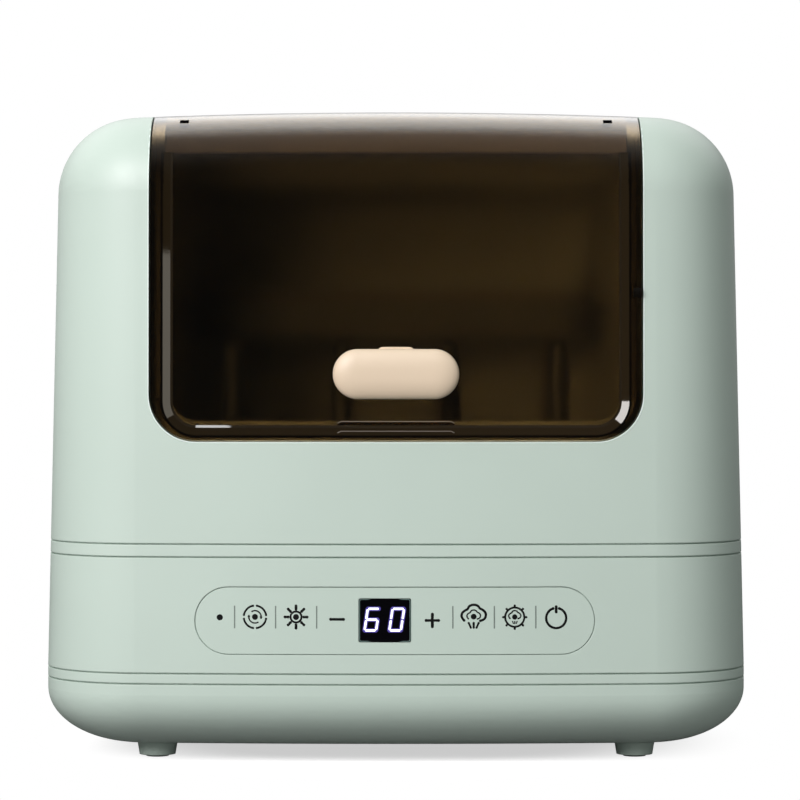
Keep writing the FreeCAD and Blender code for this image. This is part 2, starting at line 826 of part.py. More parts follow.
def hinge_dampers():
    """Friction dampers behind the pillar walls, which hold the lid where it is left."""
    start = lid_half + lid_gap + return_wall
    end = start + damper_length
    dampers = []
    for side in (-1, 1):
        can = rod(damper_r, Vector(side * start, hinge_y, hinge_z), Vector(side * end, hinge_y, hinge_z))
        ear = block(min(side * start, side * (start + 2)), max(side * start, side * (start + 2)),
                    hinge_y - damper_r - 6, hinge_y + damper_r + 6, hinge_z - 4, hinge_z + 4)
        bore = rod(hinge_pin_r, Vector(side * (start - 1), hinge_y, hinge_z),
                   Vector(side * (end + 1), hinge_y, hinge_z))
        dampers.append(can.fuse(ear).common(inside(shell_wall + sealed_gap)).cut(bore))
    return Part.makeCompound(dampers)


def catch_block(grow):
    z0 = lid_bottom_z + catch_offset - grow
    return block(-catch_width / 2 - grow, catch_width / 2 + grow, -far, mid_y, z0,
                 z0 + catch_height + 2 * grow).common(layer(lid_wall, lid_wall + catch_thickness + grow))


def lid_cover():
    """Tinted moulding: curved cover, stiffening rim, rear skirt and the two hinge knuckles."""
    skin = layer(0, lid_wall).common(lid_region(0))
    rim = layer(lid_wall / 2, lid_rim_depth).common(lid_region(0).cut(mouth_region(lid_rim_width)))
    behind = block(-far, far, hinge_y, far, hinge_z - hinge_skirt_drop, far)
    skirt = along_hinge(hinge_clear_r, lid_half).cut(along_hinge(hinge_clear_r - hinge_skirt, far))
    skirt = skirt.common(behind).common(inside(0))
    knuckles = []
    bores = []
    for side in (-1, 1):
        inner = side * (lid_half - knuckle_length)
        knuckles.append(rod(knuckle_r, Vector(inner, hinge_y, hinge_z), Vector(side * lid_half, hinge_y, hinge_z)))
        bores.append(rod(hinge_pin_r + hinge_pin_clearance,
                         Vector(side * (lid_half - pin_in_lid - sealed_gap), hinge_y, hinge_z),
                         Vector(side * (lid_half + 1), hinge_y, hinge_z)))
        magnet = switch_place(side * lid_half)
        reach = switch_place(side * (lid_half - switch_magnet_length))
        if side > 0:
            bores.append(rod(switch_magnet_r, reach, magnet.add(Vector(1, 0, 0))))
        x = side * handle_screw_pitch / 2
        bores.append(rod(small_screw_r + 0.1, Vector(x, front_y - 20, handle_z), Vector(x, mid_y, handle_z)))
    cover = joined([skin.fuse(rim.Solids + [skirt])] + knuckles)
    return less(cover, bores + [catch_block(0)])


def lid_seal():
    """Silicone cord seal under the lid's rim."""
    ring = mouth_region(seal_inset).cut(mouth_region(seal_inset + seal_width))
    return layer(lid_rim_depth, mouth_depth - sealed_gap).common(ring)


def lid_catch():
    return catch_block(0)


def catch_magnet():
    """Magnet bar behind the sealing face, which holds the lid shut."""
    z0 = lid_bottom_z + catch_offset
    depth = mouth_depth + liner_wall
    bar = block(-catch_magnet_width / 2, catch_magnet_width / 2, -far, mid_y,
                lid_bottom_z - 6.0, lid_bottom_z + 2.0)
    return bar.common(layer(depth, depth + catch_magnet_thickness)).common(slab(0, z0))


def switch_magnet():
    return rod(switch_magnet_r, switch_place(lid_half - switch_magnet_length), switch_place(lid_half))


def lid_switch():
    """Reed switch on the inner side of the right pillar, opposite the lid's magnet."""
    start = lid_half + lid_gap + return_wall
    centre = switch_place(start)
    body = block(start, start + 6, centre.y - 2, centre.y + switch_body_width - 2,
                 centre.z - switch_body_height / 2, centre.z + switch_body_height / 2)
    return body.common(inside(shell_wall + sealed_gap))


def handle_front_y():
    return front_y - handle_proud


def handle_grip():
    """Cream handle cap, a pill with soft edges."""
    y0 = handle_front_y()
    y1 = y0 + handle_thickness
    half_w = handle_width / 2
    half_h = handle_height / 2
    pill = rounded_prism("y", -half_w, half_w, handle_z - half_h, handle_z + half_h, half_h, y0, y1)
    front_edges = [edge for edge in pill.Edges
                   if all(abs(vertex.Point.y - y0) < 1e-6 for vertex in edge.Vertexes)]
    rear_edges = [edge for edge in pill.Edges
                  if all(abs(vertex.Point.y - y1) < 1e-6 for vertex in edge.Vertexes)]
    pill = pill.makeFillet(handle_edge_r, front_edges)
    rear_edges = [edge for edge in pill.Edges
                  if all(abs(vertex.Point.y - y1) < 1e-6 for vertex in edge.Vertexes)]
    pill = pill.makeFillet(handle_edge_r * 0.6, rear_edges)
    return pill


def handle_neck():
    """Foot between the handle cap and the lid; its middle stands a little above the cap for the thumb."""
    y0 = handle_front_y() + handle_thickness
    y1 = front_face_y(handle_z + handle_height) + 6
    half_h = neck_height / 2
    foot = rounded_prism("y", -neck_width / 2, neck_width / 2, handle_z - half_h, handle_z + half_h,
                         half_h, y0, y1)
    top = handle_z + handle_height / 2 + thumb_crown_rise
    crown = rounded_prism("y", -thumb_crown_width / 2, thumb_crown_width / 2, handle_z, top, 3.0, y0, y0 + 2.0)
    neck = foot.fuse(crown).cut(inside(0))
    holes = []
    for side in (-1, 1):
        x = side * handle_screw_pitch / 2
        holes.append(rod(small_screw_r, Vector(x, y0 + 1, handle_z), Vector(x, y1, handle_z)))
    return less(neck, holes)


def handle_screws():
    """Screws from inside the lid into the handle's foot."""
    seat_y = front_face_y(handle_z) + lid_wall + 0.2
    return Part.makeCompound([
        screw(Vector(side * handle_screw_pitch / 2, handle_front_y() + handle_thickness + 1.2, handle_z),
              Vector(side * handle_screw_pitch / 2, seat_y, handle_z),
              small_screw_r, small_head_r, small_head_height) for side in (-1, 1)])


def control_overlay():
    """Thin touch panel set flush into the front, with the display's opening."""
    film = layer(0, panel_thickness).common(panel_outline(0, front_y - 5, front_y + board_depth))
    lamp_x = panel_x + lamp_offset
    holes = [display_outline(0.15, front_y - 5, board_front_y),
             rod(lamp_r, Vector(lamp_x, front_y - 5, key_z), Vector(lamp_x, board_front_y, key_z))]
    return less(film, holes)


def display_window():
    """Black window in front of the digits; its foot drops into the belt's opening."""
    plate = layer(0, panel_thickness).common(display_outline(0, front_y - 5, board_front_y))
    plug = layer(panel_thickness, display_window_thickness).common(
        display_outline(-1.4, front_y - 5, board_front_y))
    return joined([plate, plug])


def display_module():
    y0 = front_face_y(display_z) + display_window_thickness + 0.6
    half_w = display_width / 2 - 1.6
    half_h = display_height / 2 - 1.6
    return block(display_x - half_w, display_x + half_w, y0, board_front_y,
                 display_z - half_h, display_z + half_h)


def indicator_lamp():
    """Small lens of the low-water lamp."""
    x = panel_x + lamp_offset
    pin = rod(lamp_r, Vector(x, front_y - 5, key_z), Vector(x, board_front_y, key_z))
    return pin.common(inside(0))


def control_board():
    z0 = panel_z - board_height / 2
    x0 = panel_x - board_width / 2
    board = block(x0, x0 + board_width, board_front_y, board_front_y + board_thickness, z0, z0 + board_height)
    holes = [rod(small_screw_r + 0.1, Vector(x, board_front_y - 1, z), Vector(x, board_front_y + 5, z))
             for x, z in board_post_places]
    chip = block(panel_x + 20, panel_x + 34, board_front_y + board_thickness,
                 board_front_y + board_thickness + 2, panel_z - 7, panel_z + 7)
    plug = block(panel_x - 50, panel_x - 26, board_front_y + board_thickness,
                 board_front_y + board_thickness + 7, z0 + 3, z0 + 9)
    return joined([less(board, holes), chip, plug])


def touch_springs():
    """Contact springs between the board and the inner side of the front wall, one behind each key."""
    springs = []
    for offset in key_offsets:
        x = panel_x + offset
        pitch = (board_depth - shell_wall) / touch_spring_turns
        rings = []
        for index in range(touch_spring_turns):
            y = board_front_y - touch_spring_wire / 2 - index * pitch * 0.5
            rings.append(Part.makeTorus(touch_spring_r - index * 0.35, touch_spring_wire / 2,
                                        Vector(x, y, key_z), Vector(0, 1, 0)))
        stem = rod(touch_spring_wire, Vector(x, front_y, key_z), Vector(x, board_front_y, key_z))
        cup = rod(touch_spring_r + touch_spring_wire / 2, Vector(x, front_y, key_z),
                  Vector(x, board_front_y - touch_spring_turns * pitch * 0.5, key_z))
        top = joined([stem, cup]).common(inside(shell_wall))
        arms = block(x - touch_spring_r, x + touch_spring_r, board_front_y - touch_spring_turns * pitch * 0.5,
                     board_front_y, key_z - touch_spring_wire / 2, key_z + touch_spring_wire / 2)
        springs.append(joined([top, arms] + rings))
    return Part.makeCompound(springs)


def board_screws():
    y = board_front_y + board_thickness
    return Part.makeCompound([
        screw(Vector(x, board_front_y - 5, z), Vector(x, y, z), small_screw_r, small_head_r, small_head_height)
        for x, z in board_post_places])


def scroll_ears():
    """Three ears that grow out of the blower's casing."""
    reach = scroll_r + screw_head_r
    return [(fan_x + reach * math.cos(math.radians(angle)), fan_y + reach * math.sin(math.radians(angle)))
            for angle in (150, 215, 310)]


def scroll_outlet(grow, x0, x1, z0, z1):
    y1 = liner_rear_y + liner_wall + duct_foot_depth
    return block(x0, x1, liner_rear_y + liner_wall + duct_wall - grow, y1 - duct_wall + grow, z0, z1)


def blower_scroll():
    """Lower half of the blower's casing, with its outlet neck and three ears."""
    z0 = scroll_bottom_z
    z1 = z0 + scroll_height
    outer = upright(scroll_r, fan_x, fan_y, z0, z1)
    neck = scroll_outlet(scroll_wall, fan_x, duct_x0, z0, z1)
    hollow = upright(scroll_r - scroll_wall, fan_x, fan_y, z0 + scroll_wall, z1 + 1)
    neck_hollow = scroll_outlet(0, fan_x, duct_x0 + 1, z0 + scroll_wall, z1 + 1)
    ears = []
    holes = [upright(bush_r, fan_x, fan_y, z0 - 1, z0 + scroll_wall + 1)]
    for x, y in scroll_ears():
        ears.append(upright(post_r, x, y, z0, z0 + 3))
        holes.append(upright(small_screw_r + 0.1, x, y, z0 - 1, z0 + 5))
    body = joined([outer, neck] + ears)
    return less(body.cut(joined([hollow, neck_hollow])), holes)


def blower_cap():
    """Lid of the blower's casing with the round inlet."""
    z0 = scroll_bottom_z + scroll_height
    plate = upright(scroll_r, fan_x, fan_y, z0, z0 + scroll_wall)
    neck = scroll_outlet(scroll_wall, fan_x, duct_x0, z0, z0 + scroll_wall)
    collar = upright(inlet_r + scroll_wall, fan_x, fan_y, z0, z0 + 3 * scroll_wall)
    inlet = upright(inlet_r, fan_x, fan_y, z0 - 1, z0 + 4 * scroll_wall)
    return joined([plate, neck, collar]).cut(inlet)


def impeller_bottom_z():
    return scroll_bottom_z + scroll_wall + bush_height - scroll_wall + impeller_lift


def fan_impeller():
    """Drum of forward-curved blades on a hub."""
    z0 = impeller_bottom_z()
    z1 = z0 + impeller_height
    disc = upright(impeller_r, fan_x, fan_y, z0, z0 + blade_thickness * 1.5)
    hub = upright(shaft_r * 2.6, fan_x, fan_y, z0, z0 + impeller_height * 0.55)
    top_ring = upright(impeller_r, fan_x, fan_y, z1 - 2, z1).cut(
        upright(impeller_r - 2, fan_x, fan_y, z1 - 3, z1 + 1))
    blades = []
    for index in range(blade_count):
        blade = block(impeller_r - blade_depth, impeller_r - 0.6, -blade_thickness / 2, blade_thickness / 2,
                      z0 + 1, z1 - 0.5)
        blade.rotate(Vector(impeller_r - blade_depth / 2, 0, 0), Vector(0, 0, 1), 28)
        blade.translate(Vector(fan_x, fan_y, 0))
        blade.rotate(Vector(fan_x, fan_y, 0), Vector(0, 0, 1), index * 360 / blade_count)
        blades.append(blade)
    drum = joined([disc, hub, top_ring] + blades).common(upright(impeller_r, fan_x, fan_y, z0, z1))
    return drum.cut(upright(shaft_r, fan_x, fan_y, z0 - 1, z1 + 1))


def fan_shaft():
    top = impeller_bottom_z() + impeller_height * 0.55
    return upright(shaft_r, fan_x, fan_y, scroll_bottom_z - motor_height * 0.6, top)


def motor_bush():
    """Bearing bush of the motor, through the floor of the blower's casing."""
    z0 = scroll_bottom_z
    return upright(bush_r, fan_x, fan_y, z0, z0 + bush_height).cut(
        upright(shaft_r + shaft_clearance, fan_x, fan_y, z0 - 1, z0 + bush_height + 1))


def fan_motor():
    z1 = scroll_bottom_z
    can = upright(motor_r, fan_x, fan_y, z1 - motor_height, z1)
    room = upright(shaft_r + 0.6, fan_x, fan_y, z1 - motor_height * 0.6 - 0.6, z1 + 1)
    bands = [upright(motor_r + 0.8, fan_x, fan_y, z1 - motor_height * share - 1, z1 - motor_height * share + 1)
             for share in (0.25, 0.75)]
    return joined([can] + bands).cut(room)


def blower_screws():
    z = scroll_bottom_z + 3
    return Part.makeCompound([
        screw(Vector(x, y, scroll_bottom_z - 8), Vector(x, y, z), small_screw_r, small_head_r,
              small_head_height) for x, y in scroll_ears()])


def duct_top_z():
    return duct_outlet_z + duct_outlet_height + 8


def air_duct():
    """Duct that carries the warm air up behind the chamber and into its rear slots."""
    x0 = duct_x0
    x1 = duct_x0 + duct_width
    y0 = liner_rear_y + liner_wall
    z0 = scroll_bottom_z
    z_step = scroll_bottom_z + scroll_height
    foot = block(x0, x1, y0, y0 + duct_foot_depth, z0, z_step)
    riser = block(x0, x1, y0, y0 + duct_depth, z0, duct_top_z())
    inner_foot = block(x0 - 1, x1 - duct_wall, y0 + duct_wall, y0 + duct_foot_depth - duct_wall,
                       z0 + scroll_wall, z_step - duct_wall)
    inner_riser = block(x0 + duct_wall, x1 - duct_wall, y0 + duct_wall, y0 + duct_depth - duct_wall,
                        z0 + scroll_wall, duct_top_z() - duct_wall)
    mouth = block(x0 + duct_wall, x1 - duct_wall, y0 - 1, y0 + duct_wall + 1,
                  duct_outlet_z - 1, duct_outlet_z + duct_outlet_height + 1)
    return joined([foot, riser]).cut(joined([inner_foot, inner_riser, mouth]))


def air_heater():
    """Ceramic heater pack with its fins, held in the duct above the blower."""
    x0 = duct_x0 + duct_wall
    x1 = duct_x0 + duct_width - duct_wall
    y0 = liner_rear_y + liner_wall + duct_wall
    y1 = y0 + duct_depth - 2 * duct_wall
    z0 = scroll_bottom_z + scroll_height + 6
    z1 = z0 + heater_block_height
    bars = [block(x0, x1, y0, y0 + 2.4, z0, z1), block(x0, x1, y1 - 2.4, y1, z0, z1),
            block(x0, x1, (y0 + y1) / 2 - 1.4, (y0 + y1) / 2 + 1.4, z0, z1)]
    count = int((x1 - x0) / heater_fin_pitch)
    fins = [block(x0 + index * heater_fin_pitch, x0 + index * heater_fin_pitch + heater_fin_thickness,
                  y0 + 1, y1 - 1, z0 + 0.5, z1 - 0.5) for index in range(1, count)]
    return joined(bars + fins)


def filter_cover():
    """Slatted cover of the air filter, flush with the back, with a finger notch at its top."""
    plate = layer(0, shell_wall).common(filter_outline(0, mid_y, rear_y + 5))
    slots = []
    count = int((filter_height - 12.0) / filter_slot_pitch)
    half = filter_width / 2 - 8.0
    for index in range(count):
        z = filter_z - 2.0 + (index - (count - 1) / 2) * filter_slot_pitch
        slots.append(rounded_prism("y", filter_x - half, filter_x + half, z - filter_slot_height / 2,
                                   z + filter_slot_height / 2, filter_slot_height / 2, mid_y, rear_y + 5))
    notch = rod(7.0, Vector(filter_x, rear_y + 2.0, filter_z + filter_height / 2),
                Vector(filter_x, rear_y + 2.0, filter_z + filter_height / 2 - 8))
    inner_y = rear_face_y(filter_z) - shell_wall
    frame = filter_outline(-2.4, inner_y - filter_pad_depth, inner_y)
    frame = frame.cut(filter_outline(-4.0, inner_y - filter_pad_depth - 1, inner_y + 1))
    frame = frame.common(inside(shell_wall))
    frame = frame.fuse(layer(shell_wall - 0.5, shell_wall + 1.5).common(
        filter_outline(-2.4, mid_y, rear_y + 5).cut(filter_outline(-4.0, mid_y, rear_y + 5))))
    return joined([less(plate, slots + [notch])] + frame.Solids)


def filter_pad():
    """Foam pad held in the cover's frame."""
    inner_y = rear_face_y(filter_z) - shell_wall
    return filter_outline(-4.0 - filter_travel_room, inner_y - filter_pad_depth + 0.5,
                          rear_y).common(inside(shell_wall + 1.6))


def filter_housing():
    """Collar on the inner side of the rear wall that the filter cover slides into."""
    inner_y = rear_face_y(filter_z) - shell_wall
    y0 = inner_y - filter_pad_depth - 3
    outer = filter_outline(3.0, y0, rear_y).common(inside(shell_wall))
    room = filter_outline(filter_gap, y0 + 1.6, rear_y)
    slots = []
    count = 5
    pitch = filter_width / count
    for index in range(count):
        x = filter_x - filter_width / 2 + pitch * (index + 0.5)
        slots.append(rounded_prism("y", x - pitch * 0.36, x + pitch * 0.36, filter_z - filter_height * 0.38,
                                   filter_z + filter_height * 0.38, 2.0, y0 - 1, y0 + 3))
    return less(outer.cut(room), slots)


def cord_gland():
    """Bush in the rear wall that the supply cord passes through."""
    y_out = rear_y + gland_proud
    inner = rod(gland_r, Vector(gland_x, y_out - gland_length, gland_z), Vector(gland_x, y_out, gland_z))
    flange = rod(gland_flange_r, Vector(gland_x, mid_y, gland_z), Vector(gland_x, y_out, gland_z))
    flange = flange.cut(inside(0))
    nut = rod(gland_flange_r, Vector(gland_x, y_out - gland_length, gland_z),
              Vector(gland_x, rear_y, gland_z)).common(inside(shell_wall))
    bore = rod(gland_bore_r, Vector(gland_x, mid_y, gland_z), Vector(gland_x, y_out + 1, gland_z))
    edge = max(flange.Faces, key=lambda face: face.CenterOfMass.y)
    flange = flange.makeFillet(min(1.0, gland_proud * 0.4), edge.OuterWire.Edges)
    return joined([inner, flange, nut]).cut(bore)


def power_board_posts():
    inset = 5.0
    x0 = power_board_x0 + inset
    x1 = power_board_x0 + power_board_width - inset
    y0 = power_board_y0 + inset
    y1 = power_board_y0 + power_board_depth - inset
    return [(x0, y0), (x1, y0), (x0, y1), (x1, y1)]


def power_board():
    board = block(power_board_x0, power_board_x0 + power_board_width, power_board_y0,
                  power_board_y0 + power_board_depth, power_board_z, power_board_z + board_thickness)
    holes = [upright(small_screw_r + 0.1, x, y, power_board_z - 1, power_board_z + 5)
             for x, y in power_board_posts()]
    return less(board, holes)


def power_screws():
    z = power_board_z + board_thickness
    return Part.makeCompound([
        screw(Vector(x, y, power_board_z - 7), Vector(x, y, z), small_screw_r, small_head_r, small_head_height)
        for x, y in power_board_posts()])


def power_parts():
    """Transformer, relays, capacitors and terminal block on the supply board."""
    z = power_board_z + board_thickness
    x = power_board_x0
    y = power_board_y0
    return Part.makeCompound([
        block(x + 14, x + 40, y + 12, y + 34, z, z + 20),
        block(x + 48, x + 67, y + 12, y + 28, z, z + 16),
        block(x + 48, x + 67, y + 34, y + 50, z, z + 16),
        upright(6.5, x + 24, y + 48, z, z + 18),
        upright(4.0, x + 40, y + 46, z, z + 12),
        block(x + 14, x + 26, y + 62, y + 72, z, z + 9),
        block(x + 34, x + 66, y + 70, y + 84, z, z + 12),
    ])


def cover_half():
    return liner_half - cover_margin


def chamber_front_y():
    """Inner side of the chamber's front wall at the floor."""
    return front_face_y(chamber_floor_z) + mouth_depth + liner_wall


def steam_cover():
    """Slotted plate over the heating pan, standing on four feet on the chamber's floor."""
    half = cover_half()
    y0 = chamber_front_y() + cover_margin + 4
    y1 = liner_rear_y - cover_margin
    plate = rounded_prism("z", -half, half, y0, y1, liner_corner_r, cover_z, cover_z + cover_thickness)
    skirt = rounded_prism("z", -half, half, y0, y1, liner_corner_r, cover_z - 3, cover_z + 1).cut(
        rounded_prism("z", -half + 2, half - 2, y0 + 2, y1 - 2, liner_corner_r - 2, cover_z - 4, cover_z + 2))
    feet = [upright(4.0, sx * (half - 14), y, chamber_floor_z, cover_z + 1)
            for sx in (-1, 1) for y in (y0 + 14, y1 - 14)]
    slots = []
    count_x = int((half * 2 - 30) / cover_slot_pitch_x / 2)
    count_y = int((y1 - y0 - 30) / cover_slot_pitch_y / 2)
    middle = (y0 + y1) / 2
    for ix in range(-count_x, count_x + 1):
        for iy in range(-count_y, count_y + 1):
            x = ix * cover_slot_pitch_x
            y = middle + iy * cover_slot_pitch_y
            slots.append(rounded_prism("z", x - cover_slot_width / 2, x + cover_slot_width / 2,
                                       y - cover_slot_length / 2, y + cover_slot_length / 2,
                                       cover_slot_width / 2, cover_z - 5, cover_z + cover_thickness + 1))
    return less(joined([plate, skirt] + feet), slots)


def peg_places():
    """Middle and height of every peg: two rows of tall ones in front and a row of short ones behind."""
    places = []
    for index in range(peg_columns):
        x = (index - (peg_columns - 1) / 2) * peg_pitch_x
        places += [(x, y, peg_height) for y in peg_row_y]
        places.append((x, short_peg_y, short_peg_height))
    return places


def bottle_rack():
    """Flat rack of crossed bars, with a bored boss under each peg where two bars cross."""
    half = liner_half - rack_margin
    y0 = chamber_front_y() + rack_margin + 4
    y1 = liner_rear_y - rack_margin
    z0 = rack_z
    z1 = z0 + rack_bar
    frame = rounded_prism("z", -half, half, y0, y1, liner_corner_r, z0, z1).cut(
        rounded_prism("z", -half + rack_bar, half - rack_bar, y0 + rack_bar, y1 - rack_bar,
                      liner_corner_r - rack_bar, z0 - 1, z1 + 1))
    pieces = [frame]
    for x in sorted({x for x, y, height in peg_places()}):
        pieces.append(block(x - rack_bar / 2, x + rack_bar / 2, y0 + rack_bar / 2, y1 - rack_bar / 2, z0, z1))
    for y in peg_row_y + (short_peg_y,):
        pieces.append(block(-half + rack_bar / 2, half - rack_bar / 2, y - rack_bar / 2, y + rack_bar / 2, z0, z1))
    bosses = [upright(peg_base_r, x, y, z0, z1) for x, y, height in peg_places()]
    sockets = [upright(peg_spigot_r + peg_spigot_clearance, x, y, z0 - 1, z1 + 1) for x, y, height in peg_places()]
    return less(joined(pieces + bosses), sockets)


def rack_pegs():
    """Tapered pegs with round tips, each with a spigot in one of the rack's bosses."""
    pegs = []
    seat_z = rack_z + rack_bar
    for x, y, height in peg_places():
        tip_z = rack_z + height
        pegs.append(joined([upright(peg_spigot_r, x, y, rack_z, seat_z),
                            cone(peg_base_r, peg_tip_r, x, y, seat_z, tip_z),
                            Part.makeSphere(peg_tip_r, Vector(x, y, tip_z))]))
    return Part.makeCompound(pegs)


def accessory_tray():
    """Small slotted tray hung on the ledges at the back of the chamber."""
    lip_half = liner_half - tray_gap
    tub_half = liner_half - tray_ledge_width - tray_gap
    y0 = liner_rear_y - tray_ledge_length + tray_front_y
    y1 = liner_rear_y - tray_gap
    z1 = tray_ledge_z
    z0 = z1 - tray_depth
    corner = liner_corner_r
    tub = rounded_prism("z", -tub_half, tub_half, y0, y1, corner, z0, z1 + tray_wall)
    hollow = rounded_prism("z", -tub_half + tray_wall, tub_half - tray_wall, y0 + tray_wall, y1 - tray_wall,
                           corner - tray_wall, z0 + tray_wall, z1 + 5)
    lip = rounded_prism("z", -lip_half, lip_half, y0, y1, corner, z1, z1 + tray_wall)
    slots = []
    count = int((tub_half * 2 - 20) / tray_slot_pitch / 2)
    for index in range(-count, count + 1):
        x = index * tray_slot_pitch
        slots.append(rounded_prism("z", x - tray_slot_width / 2, x + tray_slot_width / 2, y0 + 10, y1 - 10,
                                   tray_slot_width / 2, z0 - 1, z0 + tray_wall + 1))
    grips = []
    for side in (-1, 1):
        outer = side * (tub_half - 1)
        inner = side * (tub_half - 1 - 3)
        middle = (y0 + y1) / 2
        bow = rounded_prism("x", middle - 18, middle + 18, z1, z1 + grip_height, 8.0,
                            min(outer, inner), max(outer, inner))
        eye = rounded_prism("x", middle - 14, middle + 14, z1 + tray_wall, z1 + grip_height - 4, 4.0,
                            min(outer, inner) - 1, max(outer, inner) + 1)
        grips.append(bow.cut(eye))
    return less(joined([tub, lip] + grips).cut(hollow.cut(joined(grips))), slots)


pieces = {
    "base_dish": base_dish,
    "lower_trim_ring": lower_trim_ring,
    "control_belt": control_belt,
    "upper_trim_ring": upper_trim_ring,
    "upper_housing": upper_housing,
    "rear_louvre": rear_louvre,
    "chassis_plate": chassis_plate,
    "chamber_liner": chamber_liner,
    "foot_pads": foot_pads,
    "housing_screws": housing_screws,
    "liner_screws": liner_screws,
    "hinge_pins": hinge_pins,
    "hinge_dampers": hinge_dampers,
    "catch_magnet": catch_magnet,
    "lid_switch": lid_switch,
    "lid_cover": lid_cover,
    "lid_seal": lid_seal,
    "lid_catch": lid_catch,
    "switch_magnet": switch_magnet,
    "handle_grip": handle_grip,
    "handle_neck": handle_neck,
    "handle_screws": handle_screws,
    "heating_pan": heating_pan,
    "pan_seal": pan_seal,
    "heater_ring": heater_ring,
    "thermostat": thermostat,
    "thermal_fuse": thermal_fuse,
    "heater_clamp": heater_clamp,
    "clamp_screws": clamp_screws,
    "steam_cover": steam_cover,
    "bottle_rack": bottle_rack,
    "rack_pegs": rack_pegs,
    "accessory_tray": accessory_tray,
    "blower_scroll": blower_scroll,
    "blower_cap": blower_cap,
    "fan_impeller": fan_impeller,
    "fan_shaft": fan_shaft,
    "motor_bush": motor_bush,
    "fan_motor": fan_motor,
    "blower_screws": blower_screws,
    "air_duct": air_duct,
    "air_heater": air_heater,
    "filter_cover": filter_cover,
    "filter_pad": filter_pad,
    "filter_housing": filter_housing,
    "control_overlay": control_overlay,
    "display_window": display_window,
    "display_module": display_module,
    "indicator_lamp": indicator_lamp,
    "control_board": control_board,
    "touch_springs": touch_springs,
    "board_screws": board_screws,
    "power_board": power_board,
    "power_screws": power_screws,
    "power_parts": power_parts,
    "cord_gland": cord_gland,
}

os.makedirs("parts", exist_ok=True)
for name, make in pieces.items():
    make().exportStep("parts/" + name + ".step")
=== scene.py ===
import math

import bpy
from mathutils import Matrix, Vector


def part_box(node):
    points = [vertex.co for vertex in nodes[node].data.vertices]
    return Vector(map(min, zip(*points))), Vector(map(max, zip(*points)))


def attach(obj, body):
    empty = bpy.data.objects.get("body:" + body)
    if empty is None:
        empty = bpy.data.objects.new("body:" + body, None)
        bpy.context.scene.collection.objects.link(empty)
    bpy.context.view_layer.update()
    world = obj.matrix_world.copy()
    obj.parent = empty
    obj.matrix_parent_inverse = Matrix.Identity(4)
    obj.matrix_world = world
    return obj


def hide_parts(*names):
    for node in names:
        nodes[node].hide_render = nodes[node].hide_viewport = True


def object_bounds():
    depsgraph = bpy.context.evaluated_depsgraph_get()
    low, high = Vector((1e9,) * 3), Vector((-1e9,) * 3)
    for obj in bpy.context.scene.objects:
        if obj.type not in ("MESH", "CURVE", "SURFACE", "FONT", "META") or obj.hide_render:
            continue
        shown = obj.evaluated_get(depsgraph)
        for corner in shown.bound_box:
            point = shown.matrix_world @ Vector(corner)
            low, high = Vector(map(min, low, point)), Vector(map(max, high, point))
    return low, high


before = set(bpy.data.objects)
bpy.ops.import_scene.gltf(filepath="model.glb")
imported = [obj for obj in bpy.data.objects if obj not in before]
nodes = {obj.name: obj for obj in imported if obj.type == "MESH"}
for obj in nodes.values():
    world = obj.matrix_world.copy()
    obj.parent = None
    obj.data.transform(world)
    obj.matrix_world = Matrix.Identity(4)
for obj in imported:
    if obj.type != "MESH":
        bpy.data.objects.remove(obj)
cad_low, cad_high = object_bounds()
bpy.ops.object.select_all(action="DESELECT")


# Base dish: the round-edged bottom shell that the appliance is built up in.
# Injection moulded ABS, pale mint all through, with the fine satin grain of a spark-eroded
# mould. It is clipped and screwed to the parts above it from below.

mint = (0.570, 0.700, 0.615)


def wire(tree, kind, settings=None, inputs=None):
    """A new node in a tree, with its settings made and its inputs linked or filled in."""
    node = tree.nodes.new(kind)
    for name, value in (settings or {}).items():
        setattr(node, name, value)
    for name, value in (inputs or {}).items():
        if isinstance(value, bpy.types.NodeSocket):
            tree.links.new(value, node.inputs[name])
        else:
            node.inputs[name].default_value = value
    return node


def math_step(tree, operation, *values):
    """One arithmetic step on numbers and sockets."""
    return wire(tree, "ShaderNodeMath", {"operation": operation}, dict(enumerate(values))).outputs[0]


def noise(tree, place, per_metre, detail):
    """A random field from 0 to 1, with about so many grains to the metre."""
    field = wire(tree, "ShaderNodeTexNoise", None, {"Vector": place, "Scale": per_metre, "Detail": detail})
    return field.outputs["Fac"]


def drift(tree, place, per_metre, amount, detail=2.0):
    """A slow random field about 1, as strong as amount, for colours and gloss that wander."""
    centred = math_step(tree, "SUBTRACT", noise(tree, place, per_metre, detail), 0.5)
    swing = math_step(tree, "MULTIPLY", centred, amount)
    return math_step(tree, "MULTIPLY_ADD", swing, 2.0, 1.0)


def open_group(name, inputs):
    """A finish's empty node group, its input node and its output node."""
    tree = bpy.data.node_groups.new(name, "ShaderNodeTree")
    for label, kind, value in inputs:
        socket = tree.interface.new_socket(label, in_out="INPUT", socket_type=kind)
        socket.default_value = value
    for label, kind in (("Colour", "Color"), ("Roughness", "Float"), ("Height", "Float")):
        tree.interface.new_socket(label, in_out="OUTPUT", socket_type=f"NodeSocket{kind}")
    return tree, tree.nodes.new("NodeGroupInput"), tree.nodes.new("NodeGroupOutput")


def close_group(tree, made, colour, rough, height):
    """Links what a finish's group puts out."""
    for label, socket in (("Colour", colour), ("Roughness", rough), ("Height", height)):
        tree.links.new(socket, made.inputs[label])


def scaled_colour(tree, colour, factor):
    """A colour made lighter or darker by a factor that changes over the surface."""
    vector = wire(tree, "ShaderNodeVectorMath", {"operation": "SCALE"}, {0: colour, "Scale": factor})
    return vector.outputs[0]


